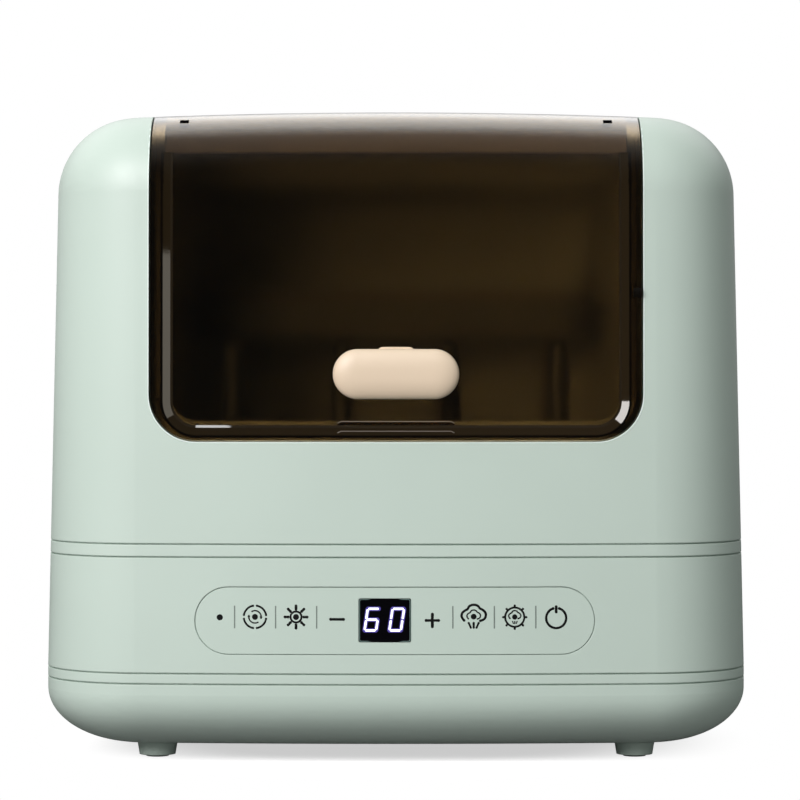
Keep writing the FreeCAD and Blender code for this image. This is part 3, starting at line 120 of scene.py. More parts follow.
def build_moulded_grain():
    """Moulded grain: the colour drifts slowly, the gloss is patchy and a fine pebble covers all."""
    tree, given, made = open_group(
        "moulded grain",
        (("Colour", "NodeSocketColor", (0.5, 0.5, 0.5, 1.0)),
         ("Colour drift", "NodeSocketFloat", 0.03),
         ("Roughness", "NodeSocketFloat", 0.45),
         ("Gloss drift", "NodeSocketFloat", 0.10),
         ("Grains per metre", "NodeSocketFloat", 2400.0)),
    )
    place = wire(tree, "ShaderNodeTexCoord").outputs["Object"]
    colour_swing = drift(tree, place, per_metre=16.0, amount=given.outputs["Colour drift"])
    gloss_swing = drift(tree, place, per_metre=90.0, amount=given.outputs["Gloss drift"], detail=4.0)
    colour = scaled_colour(tree, given.outputs["Colour"], colour_swing)
    rough = math_step(tree, "MULTIPLY", given.outputs["Roughness"], gloss_swing)
    pebble = noise(tree, place, per_metre=given.outputs["Grains per metre"], detail=3.0)
    close_group(tree, made, colour, rough, pebble)
    return tree


moulded_grain = build_moulded_grain()


def new_material(name):
    """A material with an empty tree but for its output and its surface shader."""
    material = bpy.data.materials.new(name)
    material.use_nodes = True
    tree = material.node_tree
    tree.nodes.clear()
    shader = tree.nodes.new("ShaderNodeBsdfPrincipled")
    end = tree.nodes.new("ShaderNodeOutputMaterial")
    tree.links.new(shader.outputs["BSDF"], end.inputs["Surface"])
    return material, tree, shader


def surface(tree, shader, made, depth):
    """Links a finish's colour, roughness and height to a shader. It gives back the relief's node."""
    relief = wire(tree, "ShaderNodeBump", None,
                  {"Strength": 1.0, "Distance": depth, "Height": made["Height"]})
    tree.links.new(made["Colour"], shader.inputs["Base Color"])
    tree.links.new(made["Roughness"], shader.inputs["Roughness"])
    tree.links.new(relief.outputs["Normal"], shader.inputs["Normal"])
    return relief


def moulded(name, colour, roughness, grain_depth, grains=2400.0, colour_drift=0.03, gloss_drift=0.10,
            edge_radius=0.0, specular=0.5):
    """Moulded plastic or rubber of one colour, grained as deep as grain_depth, in metres."""
    material, tree, shader = new_material(name)
    effect = wire(tree, "ShaderNodeGroup", {"node_tree": moulded_grain},
                  {"Colour": (*colour, 1.0), "Colour drift": colour_drift, "Roughness": roughness,
                   "Gloss drift": gloss_drift, "Grains per metre": grains})
    relief = surface(tree, shader, effect.outputs, grain_depth)
    if edge_radius:
        rounded = wire(tree, "ShaderNodeBevel", {"samples": 4}, {"Radius": edge_radius})
        tree.links.new(rounded.outputs["Normal"], relief.inputs["Normal"])
    shader.inputs["Specular IOR Level"].default_value = specular
    return material


def dress(material, *names):
    """Gives the named construction pieces their finish."""
    for name in names:
        mesh = nodes[name].data
        mesh.materials.clear()
        mesh.materials.append(material)


casing_satin = moulded("casing satin", mint, 0.42, 0.000012, edge_radius=0.0008)
dress(casing_satin, "base_dish")


# Feet: each foot is moulded with the dish, and a soft pad is pushed into its end.
# The pads are grey-green rubber, dull, with a slightly gritty skin.

foot_rubber = moulded("foot rubber", (0.20, 0.235, 0.205), 0.72, 0.00004, grains=1500.0, gloss_drift=0.05)
dress(foot_rubber, "foot_pads")


# Chassis plate and what is screwed to it from below: unpainted moulded plastic, off-white, as
# nobody sees it once the dish is closed. The screws are zinc plated steel.

inner_moulding = moulded("inner moulding", (0.64, 0.65, 0.60), 0.5, 0.00002)
dress(inner_moulding, "chassis_plate")


def build_worked_metal():
    """Worked metal: fine streaks along one direction, with faint stains over them."""
    tree, given, made = open_group(
        "worked metal",
        (("Colour", "NodeSocketColor", (0.6, 0.6, 0.6, 1.0)),
         ("Roughness", "NodeSocketFloat", 0.3),
         ("Streaks", "NodeSocketVector", (60.0, 3000.0, 3000.0))),
    )
    place = wire(tree, "ShaderNodeTexCoord").outputs["Object"]
    drawn = wire(tree, "ShaderNodeVectorMath", {"operation": "MULTIPLY"},
                 {0: place, 1: given.outputs["Streaks"]})
    streaks = noise(tree, drawn.outputs[0], per_metre=1.0, detail=2.0)
    stain_swing = drift(tree, place, per_metre=45.0, amount=0.10, detail=3.0)
    colour = scaled_colour(tree, given.outputs["Colour"], stain_swing)
    streak_roughness = 0.18
    rough = math_step(tree, "MULTIPLY_ADD", streaks, streak_roughness, given.outputs["Roughness"])
    close_group(tree, made, colour, rough, streaks)
    return tree


worked_metal = build_worked_metal()


def metal(name, colour, roughness, streaks, depth=0.000004):
    """Bare metal: streaks gives how many marks there are per metre along each axis."""
    material, tree, shader = new_material(name)
    effect = wire(tree, "ShaderNodeGroup", {"node_tree": worked_metal},
                  {"Colour": (*colour, 1.0), "Roughness": roughness, "Streaks": streaks})
    surface(tree, shader, effect.outputs, depth)
    shader.inputs["Metallic"].default_value = 1.0
    return material


zinc = metal("zinc plate", (0.58, 0.59, 0.60), 0.28, (900.0, 900.0, 900.0))
dress(zinc, "housing_screws", "liner_screws", "clamp_screws", "blower_screws", "board_screws",
      "power_screws", "handle_screws", "hinge_pins", "fan_shaft")


# Supply board: a coated board with its transformer, capacitors and relay, and the rubber bush
# that the mains lead comes in through. The board stands on posts of the dish.

board_lacquer = moulded("board lacquer", (0.02, 0.11, 0.045), 0.28, 0.000008, grains=900.0, colour_drift=0.15)
component_case = moulded("component case", (0.02, 0.02, 0.022), 0.45, 0.00001)
bush_rubber = moulded("bush rubber", (0.085, 0.105, 0.095), 0.65, 0.00003, grains=1500.0)
dress(board_lacquer, "power_board", "control_board")
dress(component_case, "power_parts")
dress(bush_rubber, "cord_gland")


# Blower: a scroll casing with its cap, a drum of blades on a steel shaft in a sintered bush,
# and a motor in a rolled steel can. It blows up the duct through a block of folded fins.

duct_moulding = moulded("duct moulding", (0.035, 0.035, 0.036), 0.5, 0.00002)
motor_steel = metal("motor can", (0.09, 0.092, 0.098), 0.35, (300.0, 300.0, 2000.0))
brass = metal("sintered brass", (0.50, 0.33, 0.11), 0.38, (2500.0, 2500.0, 2500.0), 0.00001)
fin_alloy = metal("fin alloy", (0.66, 0.66, 0.67), 0.25, (100.0, 100.0, 2500.0))
dress(inner_moulding, "blower_scroll", "blower_cap", "fan_impeller", "filter_housing")
dress(motor_steel, "fan_motor")
dress(brass, "motor_bush")
dress(duct_moulding, "air_duct")
dress(fin_alloy, "air_heater")


# Trim bands and control belt: three rings stacked on the dish, of the same mint ABS. Fine
# open seams are left between them, which read as two pairs of lines round the body.

dress(casing_satin, "lower_trim_ring", "control_belt", "upper_trim_ring")


# Control board side: contact springs press on the back of the film under each symbol, and a
# digit block stands behind the window. The block is black so that only lit bars show.

spring_wire = metal("spring wire", (0.50, 0.50, 0.50), 0.25, (2500.0, 2500.0, 2500.0))
digit_block = moulded("digit block", (0.008, 0.008, 0.009), 0.55, 0.00001)
dress(spring_wire, "touch_springs")
dress(digit_block, "display_module")


# Display window: a polished black window with two seven-bar digits that shine through it. Each
# bar is a small lit prism with rounded corners, with a violet glow round its edge.

digit_places = ((-0.01165, "acdefg"), (0.00035, "abcdef"))
digit_middle_z = 0.0717
digit_reach = 0.00525
digit_half_width = 0.0028
digit_slant = math.tan(math.radians(8.5))
bar_width = 0.00106
bar_gap = 0.00050
bar_roundness = 0.46
bar_rise = 0.00004
glow_margin = 0.00096
sight_gap = 0.01

window_gloss = moulded("window gloss", (0.0060, 0.0055, 0.0085), 0.10, 0.000001, gloss_drift=0.2,
                       specular=0.3, edge_radius=0.0004)
dress(window_gloss, "display_window")


def lamp_light(name, core, rim, strength):
    """A lit plastic: it shines with its core colour, a little uneven, over a body of its rim colour."""
    material, tree, shader = new_material(name)
    place = wire(tree, "ShaderNodeTexCoord").outputs["Object"]
    uneven = drift(tree, place, per_metre=700.0, amount=0.05)
    shine = scaled_colour(tree, core, uneven)
    tree.links.new(shine, shader.inputs["Emission Color"])
    shader.inputs["Emission Strength"].default_value = strength
    shader.inputs["Base Color"].default_value = (*rim, 1.0)
    shader.inputs["Roughness"].default_value = 0.5
    return material


def piece_named(name):
    """A node of the assembly, or a piece made here."""
    return nodes[name] if name in nodes else bpy.data.objects[name]


def front_of(name, x, z):
    """The place on a piece's front face at x and z, found by looking along +Y from ahead of it."""
    ahead = Vector((x, cad_low[1] - sight_gap, z))
    hit, place = piece_named(name).ray_cast(ahead, Vector((0.0, 1.0, 0.0)))[:2]
    return place if hit else None


def only(piece):
    """Makes one object the selected and active one."""
    bpy.ops.object.select_all(action="DESELECT")
    piece.select_set(True)
    bpy.context.view_layer.objects.active = piece


def lit_bar(start, end, width):
    """A flat bar between two (x, z) points, as wide as width, with its corners bevelled round."""
    run = Vector((end[0] - start[0], 0.0, end[1] - start[1]))
    bpy.ops.mesh.primitive_plane_add(size=1.0)
    bar = bpy.context.object
    bpy.ops.object.mode_set(mode="EDIT")
    bpy.ops.mesh.select_all(action="SELECT")
    bpy.ops.transform.resize(value=(run.length + width, width, 1.0))
    bpy.ops.mesh.bevel(offset=width * bar_roundness, segments=3, affect="VERTICES")
    bpy.ops.mesh.extrude_region_move(TRANSFORM_OT_translate={"value": (0.0, 0.0, bar_rise)})
    bpy.ops.mesh.select_all(action="SELECT")
    bpy.ops.mesh.normals_make_consistent(inside=False)
    bpy.ops.object.mode_set(mode="OBJECT")
    face_front = Matrix.Rotation(math.radians(90), 4, "X")
    turn = Matrix.Rotation(-math.atan2(run.z, run.x), 4, "Y")
    middle_place = Matrix.Translation(((start[0] + end[0]) / 2, 0.0, (start[1] + end[1]) / 2))
    bar.data.transform(middle_place @ turn @ face_front)
    return bar


def joined_piece(name, parts, material, body):
    """Joins parts into one named piece with one finish, riding on a body."""
    only(parts[0])
    for part in parts[1:]:
        part.select_set(True)
    if len(parts) > 1:
        bpy.ops.object.join()
    piece = bpy.context.object
    piece.name = name
    piece.data.name = name
    piece.data.materials.clear()
    piece.data.materials.append(material)
    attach(piece, body)
    return piece


def lay_on(piece, name, lift=0.0):
    """Moves every point of a flat piece back onto another piece's front face, or ahead of it by lift."""
    for vertex in piece.data.vertices:
        place = front_of(name, vertex.co.x, vertex.co.z)
        vertex.co.y += place.y - lift
    piece.data.update()


def slanted(middle_x, x, z):
    """A point of a digit, leaned over like the rest of it."""
    return (middle_x + x + z * digit_slant, digit_middle_z + z)


def digit_bars(middle_x, letters, width, trim):
    """The lit bars of one digit, named a to g in the usual order, each lengthened by trim at its ends."""
    wide = digit_half_width
    high = digit_reach
    ends = {
        "a": ((-wide, high), (wide, high)),
        "b": ((wide, high), (wide, 0.0)),
        "c": ((wide, 0.0), (wide, -high)),
        "d": ((-wide, -high), (wide, -high)),
        "e": ((-wide, 0.0), (-wide, -high)),
        "f": ((-wide, high), (-wide, 0.0)),
        "g": ((-wide, 0.0), (wide, 0.0)),
    }
    bars = []
    for letter in letters:
        start, end = (Vector(slanted(middle_x, *point)) for point in ends[letter])
        inset = (end - start).normalized() * (bar_width / 2 + bar_gap / 2 - trim)
        bars.append(lit_bar(start + inset, end - inset, width))
    return bars


bar_white = lamp_light("bar white", (0.93, 0.93, 1.0), (0.8, 0.8, 0.9), 1.05)
bar_violet = lamp_light("bar violet", (0.075, 0.055, 0.33), (0.01, 0.01, 0.03), 1.0)
bpy.context.view_layer.update()
for index, (digit_x, letters) in enumerate(digit_places):
    wide_bars = digit_bars(digit_x, letters, bar_width + glow_margin, glow_margin / 2)
    halo = joined_piece(f"digit_glow_{index}", wide_bars, bar_violet, "housing")
    lay_on(halo, "display_window")
    lit_bars = digit_bars(digit_x, letters, bar_width, 0.0)
    digit = joined_piece(f"digit_bars_{index}", lit_bars, bar_white, "housing")
    lay_on(digit, "display_window", bar_rise)


# Touch panel film: a thin printed film in the same mint, set flush in a pill-shaped recess of
# the belt, slightly smoother than the moulding round it. The symbols are black ink and the
# hairlines between them grey, both printed on its face.

symbol_z = 0.0729
ink_rise = 0.00003
ink_boldest = 0.00148
ink_heavy = 0.00138
ink_medium = 0.00114
ink_fine = 0.00080
ink_finest = 0.00064
arc_step = 7.5
hairline = 0.00066
hairline_places = (-0.0782, -0.0583, -0.0384, 0.0275, 0.0476, 0.0677)
hairline_low = 0.0676
hairline_high = 0.0780

film_satin = moulded("panel film", mint, 0.36, 0.000005, grains=3500.0, edge_radius=0.0003)
lamp_smoke = moulded("lamp lens", (0.01, 0.011, 0.011), 0.15, 0.000002)
ink_black = moulded("ink black", (0.003, 0.004, 0.0035), 0.6, 0.000003, grains=5000.0, specular=0.2)
ink_grey = moulded("ink grey", (0.20, 0.25, 0.22), 0.5, 0.000003, grains=5000.0)
dress(film_satin, "control_overlay")
dress(lamp_smoke, "indicator_lamp")


def ink_dot(x, z, radius):
    """A round dot of ink: a very low drum."""
    bpy.ops.mesh.primitive_cylinder_add(vertices=32, radius=radius, depth=2 * ink_rise, location=(x, 0.0, z),
                                        rotation=(math.radians(90), 0.0, 0.0))
    dot = bpy.context.object
    dot.data.transform(dot.matrix_world)
    dot.matrix_world = Matrix.Identity(4)
    return dot


def ink_stroke(path, width, closed=False, smooth=False, rise=ink_rise, rounds=1):
    """A stroke along (x, z) points, as wide as width. An open stroke of one round gets round ends."""
    curve = bpy.data.curves.new("stroke", "CURVE")
    curve.dimensions = "3D"
    curve.bevel_depth = width / 2
    curve.bevel_resolution = rounds
    curve.resolution_u = 6
    curve.use_fill_caps = True
    spline = curve.splines.new("NURBS" if smooth else "POLY")
    spline.points.add(len(path) - 1)
    for point, (x, z) in zip(spline.points, path):
        point.co = (x, 0.0, z, 1.0)
    spline.use_cyclic_u = closed
    if smooth:
        spline.order_u = 3
        spline.use_endpoint_u = True
    line = bpy.data.objects.new("stroke", curve)
    bpy.context.scene.collection.objects.link(line)
    only(line)
    bpy.ops.object.convert(target="MESH")
    line = bpy.context.object
    line.data.transform(Matrix.Scale(2 * rise / width, 4, (0.0, 1.0, 0.0)))
    parts = [line]
    if not closed and rounds == 1:
        parts += [ink_dot(*path[0], width / 2), ink_dot(*path[-1], width / 2)]
    return parts


def round_point(middle, radius, angle):
    """The (x, z) point at a distance from a middle, its angle in degrees from +X towards +Z."""
    turn = math.radians(angle)
    return (middle[0] + radius * math.cos(turn), middle[1] + radius * math.sin(turn))


def arc_points(middle, radius, start, end):
    """Points along an arc between two angles."""
    count = max(2, round(abs(end - start) / arc_step))
    return [round_point(middle, radius, start + (end - start) * index / count) for index in range(count + 1)]


def full_ring(middle, radius, width):
    """A closed ring of ink."""
    return ink_stroke(arc_points(middle, radius, 0, 360 - arc_step), width, closed=True)


def ray_strokes(middle, near, far, width):
    """Eight short strokes of ink that point away from a middle."""
    strokes = []
    for eighth in range(8):
        strokes += ink_stroke([round_point(middle, reach, eighth * 45) for reach in (near, far)], width)
    return strokes


def jet_strokes(top, spread_top, spread_foot, drop_top, drop_foot, width):
    """Three short strokes of ink under a point, leaning in towards their feet."""
    strokes = []
    for lean in (-1, 0, 1):
        strokes += ink_stroke([(top[0] + lean * spread_top, top[1] - drop_top),
                               (top[0] + lean * spread_foot, top[1] - drop_foot)], width)
    return strokes


def printed(name, parts, material=ink_black):
    """Joins strokes into one printed symbol on the film."""
    piece = joined_piece(name, parts, material, "housing")
    lay_on(piece, "control_overlay")
    return piece


def arrow_strokes(middle, start):
    """A bent arrow that sweeps round a middle from an angle, with two barbs at its tip."""
    radius = 0.0030
    sweep = 130
    barb_sweep = 18
    barb_spread = 0.26
    barb_lean = 0.4
    bend = arc_points(middle, radius, start, start - sweep)
    back = Vector(round_point(middle, radius, start - sweep + barb_sweep))
    strokes = ink_stroke(bend, ink_fine)
    for swing in (1 - barb_spread, 1 + barb_spread):
        aside = Vector(round_point(middle, radius * swing, start - sweep))
        strokes += ink_stroke([bend[-1], back.lerp(aside, barb_lean)], ink_finest)
    return strokes


def keep_symbol(x):
    """Storage: a dot, two arrows that chase each other and a broken ring."""
    middle = (x, symbol_z)
    dot_radius = 0.00145
    ring_radius = 0.00545
    ring_break = 10
    arrow_start = 118
    parts = [ink_dot(*middle, dot_radius)]
    for start in (0, 90, 180, 270):
        quarter = arc_points(middle, ring_radius, start + ring_break, start + 90 - ring_break)
        parts += ink_stroke(quarter, ink_medium)
    for start in (arrow_start, arrow_start - 180):
        parts += arrow_strokes(middle, start)
    return parts


def dry_symbol(x):
    """Drying: a ring with a dot in it and eight rays."""
    middle = (x, symbol_z)
    dot_radius = 0.00145
    ring_radius = 0.00265
    return ([ink_dot(*middle, dot_radius)] + full_ring(middle, ring_radius, ink_medium)
            + ray_strokes(middle, near=0.0038, far=0.0054, width=ink_heavy))


def puff_stroke(middle, scale, width):
    """Half of a puff of steam, open below, drawn about a middle at a scale."""
    outline = ((-0.90, -0.34), (-1.16, -0.06), (-1.10, 0.36), (-0.78, 0.60), (-0.54, 0.70), (-0.44, 1.00),
               (0.00, 1.14), (0.40, 1.02), (0.56, 0.76), (0.86, 0.64), (1.14, 0.34), (1.12, -0.06),
               (0.90, -0.32), (0.62, -0.38))
    path = [(middle[0] + x * scale, middle[1] + z * scale) for x, z in outline]
    return ink_stroke(path, width, smooth=True)


def steam_symbol(x):
    """Sterilizing: two puffs of steam, one in the other, over three jets."""
    heart = (x + 0.0001, symbol_z + 0.0002)
    dot_radius = 0.00138
    return ([ink_dot(*heart, dot_radius)] + puff_stroke(heart, 0.0052, ink_heavy)
            + puff_stroke(heart, 0.0029, ink_fine)
            + jet_strokes(heart, spread_top=0.0024, spread_foot=0.0014, drop_top=0.0031, drop_foot=0.0053,
                          width=ink_medium))


def auto_symbol(x):
    """Automatic run: a ring with eight short teeth round a small puff of steam."""
    middle = (x, symbol_z - 0.0001)
    dot_place = (x, symbol_z)
    dot_radius = 0.00130
    ring_radius = 0.00465
    puff_middle = (x, symbol_z + 0.0002)
    return ([ink_dot(*dot_place, dot_radius)] + full_ring(middle, ring_radius, ink_medium)
            + ray_strokes(middle, near=0.0048, far=0.0056, width=ink_medium)
            + puff_stroke(puff_middle, 0.0026, ink_fine)
            + jet_strokes(middle, spread_top=0.0011, spread_foot=0.0007, drop_top=0.0021, drop_foot=0.0030,
                          width=ink_finest))


def power_symbol(x):
    """Off: a ring open at its top with an upright stroke in the gap."""
    middle = (x, symbol_z - 0.0006)
    ring_radius = 0.00486
    ring_gap = 18
    stroke_low = 0.0029
    stroke_high = 0.0055
    return (ink_stroke(arc_points(middle, ring_radius, 90 + ring_gap, 450 - ring_gap), ink_heavy)
            + ink_stroke([(x, middle[1] + stroke_low), (x, middle[1] + stroke_high)], ink_heavy))


def minus_symbol(x):
    """Less: one level stroke."""
    middle_z = 0.0718
    reach = 0.0031
    return ink_stroke([(x - reach, middle_z), (x + reach, middle_z)], ink_boldest)


def plus_symbol(x):
    """More: a level and an upright stroke."""
    middle_z = 0.0713
    reach = 0.0030
    return (ink_stroke([(x - reach, middle_z), (x + reach, middle_z)], ink_boldest)
            + ink_stroke([(x, middle_z - reach), (x, middle_z + reach)], ink_boldest))


for symbol, draw, symbol_x in (("keep", keep_symbol, -0.0683), ("dry", dry_symbol, -0.0484),
                               ("minus", minus_symbol, -0.0285), ("plus", plus_symbol, 0.0176),
                               ("steam", steam_symbol, 0.0375), ("auto", auto_symbol, 0.0575),
                               ("power", power_symbol, 0.0776)):
    printed(f"symbol_{symbol}", draw(symbol_x))
for index, line_x in enumerate(hairline_places):
    line = ink_stroke([(line_x, hairline_low), (line_x, hairline_high)], hairline)
    printed(f"hairline_{index}", line, ink_grey)


# Window edge: the highlight on the slanted border of the display window is painted on as a
# thin grey-green line all round it.

window_low, window_high = (Vector(corner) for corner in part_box("display_window"))
edge_inset = 0.00034
edge_width = 0.00056
edge_corner = 0.0010

# Painted highlight: the grey-green line stands for the light caught by the window's slanted, polished border.
window_edge_highlight_paint = moulded("window edge painted highlight", (0.13, 0.20, 0.18), 0.25, 0.000002)
edge_turn = edge_inset + edge_corner
turn_low = (window_low.x + edge_turn, window_low.z + edge_turn)
turn_high = (window_high.x - edge_turn, window_high.z - edge_turn)
edge_path = []
for turn_middle, start_angle in ((turn_low, 180), ((turn_high[0], turn_low[1]), 270),
                                 (turn_high, 0), ((turn_low[0], turn_high[1]), 90)):
    edge_path += arc_points(turn_middle, edge_corner, start_angle, start_angle + 90)
edge_strokes = ink_stroke(edge_path, edge_width, closed=True)
window_edge = joined_piece("window_edge", edge_strokes, window_edge_highlight_paint, "housing")
lay_on(window_edge, "display_window")


# Upper casing: the tall shell with its two pillars, the curtain wall below the lid and the
# crowned top behind it. One moulding, dropped over the chamber and screwed from below. The
# highlight along the edge of its opening is painted on: a fine bead of paler mint laid on it.

dress(casing_satin, "upper_housing")

opening_corner_x = 0.0970
opening_corner_z = 0.1810
opening_top_z = 0.3110
opening_reach = 0.0200
opening_face_y = -0.1050
opening_land = 0.0006
opening_bead = 0.00012
opening_side_steps = 32
opening_turn_steps = 12
opening_low_steps = 24
march_step = 0.00005


def opening_point(middle, angle):
    """The first place outward from a point of the opening where the casing's front face begins."""
    reach = opening_reach
    place = None
    while place is None or place.y > opening_face_y:
        reach += march_step
        place = front_of("upper_housing", *round_point(middle, reach, angle))
        if reach > 2 * opening_reach:
            return None
    return round_point(middle, reach + opening_land / 2 + march_step, angle)


# Painted highlight: the bead is a paler mint than the casing and stands for the light caught by the opening's
# rounded edge.
opening_highlight_paint = moulded("opening painted highlight", (0.80, 0.93, 0.86), 0.3, 0.000004)
opening_height = opening_top_z - opening_corner_z
opening_middles = [((opening_corner_x, opening_corner_z + opening_height * index / opening_side_steps), 0)
                   for index in range(opening_side_steps, 0, -1)]
opening_middles += [((opening_corner_x, opening_corner_z), -90 * index / opening_turn_steps)
                    for index in range(opening_turn_steps + 1)]
opening_middles += [((opening_corner_x * (1 - index / opening_low_steps), opening_corner_z), -90)
                    for index in range(1, opening_low_steps + 1)]
opening_half = [opening_point(middle, angle) for middle, angle in opening_middles]
opening_half = [point for point in opening_half if point]
opening_path = opening_half[:-1] + [(-x, z) for x, z in reversed(opening_half)]
opening_strokes = ink_stroke(opening_path, opening_land, rise=opening_bead, rounds=3)
opening_highlight_bead = joined_piece("opening_highlight_bead", opening_strokes, opening_highlight_paint, "housing")
lay_on(opening_highlight_bead, "upper_housing")


# Louvre and air filter at the back: the louvre is a separate moulding in the mint, as is the
# filter's cover, and the filter itself is a pad of dark open foam.

filter_foam = moulded("filter foam", (0.04, 0.043, 0.043), 0.9, 0.0006, grains=700.0, gloss_drift=0.02)
dress(casing_satin, "rear_louvre", "filter_cover")
dress(filter_foam, "filter_pad")


# Chamber: a one-piece liner of pale satin plastic with a brushed steel pan in its floor. Under
# the pan a cast ring heats it, with a thermostat and a fuse held by a steel clamp. The lid's
# switch and the hinge dampers are black mouldings like the thermostat.

liner_satin = moulded("liner satin", (0.50, 0.50, 0.47), 0.40, 0.00001)
pan_steel = metal("pan steel", (0.62, 0.62, 0.61), 0.22, (2500.0, 60.0, 60.0))
cast_alloy = metal("cast alloy", (0.42, 0.42, 0.42), 0.5, (700.0, 700.0, 700.0), 0.00003)
black_moulding = moulded("black moulding", (0.012, 0.012, 0.012), 0.4, 0.00001)
ceramic = moulded("ceramic", (0.75, 0.72, 0.66), 0.6, 0.00002)
seal_silicone = moulded("silicone", (0.080, 0.060, 0.036), 0.5, 0.00001, grains=900.0)
dress(liner_satin, "chamber_liner")
dress(pan_steel, "heating_pan", "heater_clamp")
dress(cast_alloy, "heater_ring")
dress(black_moulding, "thermostat", "lid_switch", "hinge_dampers")
dress(ceramic, "thermal_fuse")
dress(seal_silicone, "pan_seal", "lid_seal")


# Steam cover, bottle rack and accessory tray: loose pieces of smooth grey polypropylene that
# lift out of the chamber to be washed. The rack's pegs are of a darker grade.

rack_plastic = moulded("rack plastic", (0.16, 0.155, 0.145), 0.40, 0.000006)
peg_plastic = moulded("peg plastic", (0.055, 0.052, 0.047), 0.45, 0.000006)
dress(rack_plastic, "steam_cover", "bottle_rack", "accessory_tray")
dress(peg_plastic, "rack_pegs")


# Lid: one polished moulding in smoke brown that fills the front and wraps over the top. It is
# finely etched inside, which hides the chamber, and turns on two pins. Its turned-in rim holds
# the seal, the catch plate and a magnet, and its side the magnet of the lid switch.

lid_tint = (0.27, 0.195, 0.10)
lid_index = 1.49
etch_roughness = 0.20
polish_roughness = 0.02
ripple_depth = 0.00002


def tinted(name, colour, roughness, specular):
    """Clear plastic dyed right through, etched inside and polished outside, faintly rippled."""
    material, tree, shader = new_material(name)
    place = wire(tree, "ShaderNodeTexCoord").outputs["Object"]
    dyed = scaled_colour(tree, colour, drift(tree, place, per_metre=8.0, amount=0.06))
    smear = drift(tree, place, per_metre=40.0, amount=0.15, detail=3.0)
    rough = math_step(tree, "MULTIPLY", smear, roughness)
    ripple = noise(tree, place, per_metre=25.0, detail=1.0)
    surface(tree, shader, {"Colour": dyed, "Roughness": rough, "Height": ripple}, ripple_depth)
    shader.inputs["Transmission Weight"].default_value = 1.0
    shader.inputs["IOR"].default_value = lid_index
    shader.inputs["Specular IOR Level"].default_value = specular
    shader.inputs["Coat Weight"].default_value = 1.0
    shader.inputs["Coat Roughness"].default_value = polish_roughness
    shader.inputs["Coat IOR"].default_value = lid_index
    return material


lid_plastic = tinted("lid tint", lid_tint, etch_roughness, 0.0)
dress(lid_plastic, "lid_cover", "lid_catch")
magnet_nickel = metal("magnet nickel", (0.60, 0.60, 0.61), 0.2, (800.0, 800.0, 800.0))
magnet_resin = moulded("magnet resin", (0.018, 0.013, 0.008), 0.5, 0.000004, specular=0.2)
dress(magnet_nickel, "catch_magnet")
dress(magnet_resin, "switch_magnet")


# Lid seal: the soft dark ring in the lid's groove. It is drawn a hair slimmer than its groove,
# so that the groove's walls stay apart from it.

seal_slack = 0.00022
weld_reach = 0.000002

only(nodes["lid_seal"])
bpy.ops.object.duplicate()
seal_ring = bpy.context.object
bpy.ops.object.mode_set(mode="EDIT")
bpy.ops.mesh.select_all(action="SELECT")
bpy.ops.mesh.remove_doubles(threshold=weld_reach)
bpy.ops.mesh.normals_make_consistent(inside=False)
bpy.ops.transform.shrink_fatten(value=-seal_slack)
bpy.ops.object.mode_set(mode="OBJECT")
seal_ring = joined_piece("seal_ring", [seal_ring], seal_silicone, "lid")
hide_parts("lid_seal")


# Lid panel edge: the middle of the lid's front stands a little proud, and its slanted border
# runs down both sides and along the bottom. It is part of the lid moulding, and the light of
# the room is mirrored in it as sharp strips.

border_half_width = 0.1144
border_low_z = 0.1597
border_radius = 0.0175
border_top_z = 0.2985
border_width = 0.0048
border_land = 0.0012
border_rise = 0.0007
border_sink = 0.0002
border_side_steps = 30
border_low_steps = 40
border_crease = math.radians(11)

border_brown = moulded("lid border", (0.034, 0.023, 0.011), polish_roughness, 0.000001, gloss_drift=0.3)


def border_row(inset):
    """The border's path at a distance in from its outer edge, with as many points at any inset."""
    left_turn = arc_points((border_radius - border_half_width, border_low_z + border_radius),
                           border_radius - inset, 180, 270)
    right_turn = [(-x, z) for x, z in reversed(left_turn)]
    side_low_z = left_turn[0][1]
    falls = [border_top_z + (side_low_z - border_top_z) * index / border_side_steps
             for index in range(border_side_steps)]
    run_start, low_z = left_turn[-1]
    run_length = right_turn[0][0] - run_start
    runs = [run_start + run_length * index / border_low_steps for index in range(1, border_low_steps)]
    side_x = border_half_width - inset
    return ([(-side_x, z) for z in falls] + left_turn + [(x, low_z) for x in runs] + right_turn
            + [(side_x, z) for z in reversed(falls)])


border_rows = [(border_row(inset), lift) for inset, lift in
               ((0.0, -border_sink), (border_width, border_rise), (border_width + border_land, 0.0))]
across = len(border_rows[0][0])
bpy.ops.object.select_all(action="DESELECT")
bpy.ops.mesh.primitive_grid_add(x_subdivisions=across - 1, y_subdivisions=len(border_rows), size=1.0)
border = bpy.context.object
for index, vertex in enumerate(border.data.vertices):
    path, lift = border_rows[(index // across) % len(border_rows)]
    x, z = path[index % across]
    vertex.co = (x, front_of("lid_cover", x, z).y - lift, z)
bpy.ops.object.mode_set(mode="EDIT")
bpy.ops.mesh.select_all(action="SELECT")
bpy.ops.mesh.remove_doubles(threshold=weld_reach)
bpy.ops.mesh.fill_holes(sides=0)
bpy.ops.mesh.select_all(action="SELECT")
bpy.ops.mesh.normals_make_consistent(inside=False)
bpy.ops.object.mode_set(mode="OBJECT")
joined_piece("lid_panel_edge", [border], border_brown, "lid")
bpy.ops.object.shade_smooth_by_angle(angle=border_crease)


# Catch window: two fine lines below the handle mark the place of the catch. They are engraved
# in the lid's face, and their highlights are painted on as beads of pale brown laid on it.

groove_half_length = 0.0281
groove_hook = 0.0014
groove_drop = groove_hook / 2
groove_width = 0.00050
groove_rows = ((0.1675, "lid_cover"), (0.1628, "lid_panel_edge"))

# Painted highlight: the beads are a pale brown that stands for the light caught by the polished grooves.
groove_highlight_paint = moulded("groove painted highlight", (0.21, 0.18, 0.145), 0.22, 0.000002)


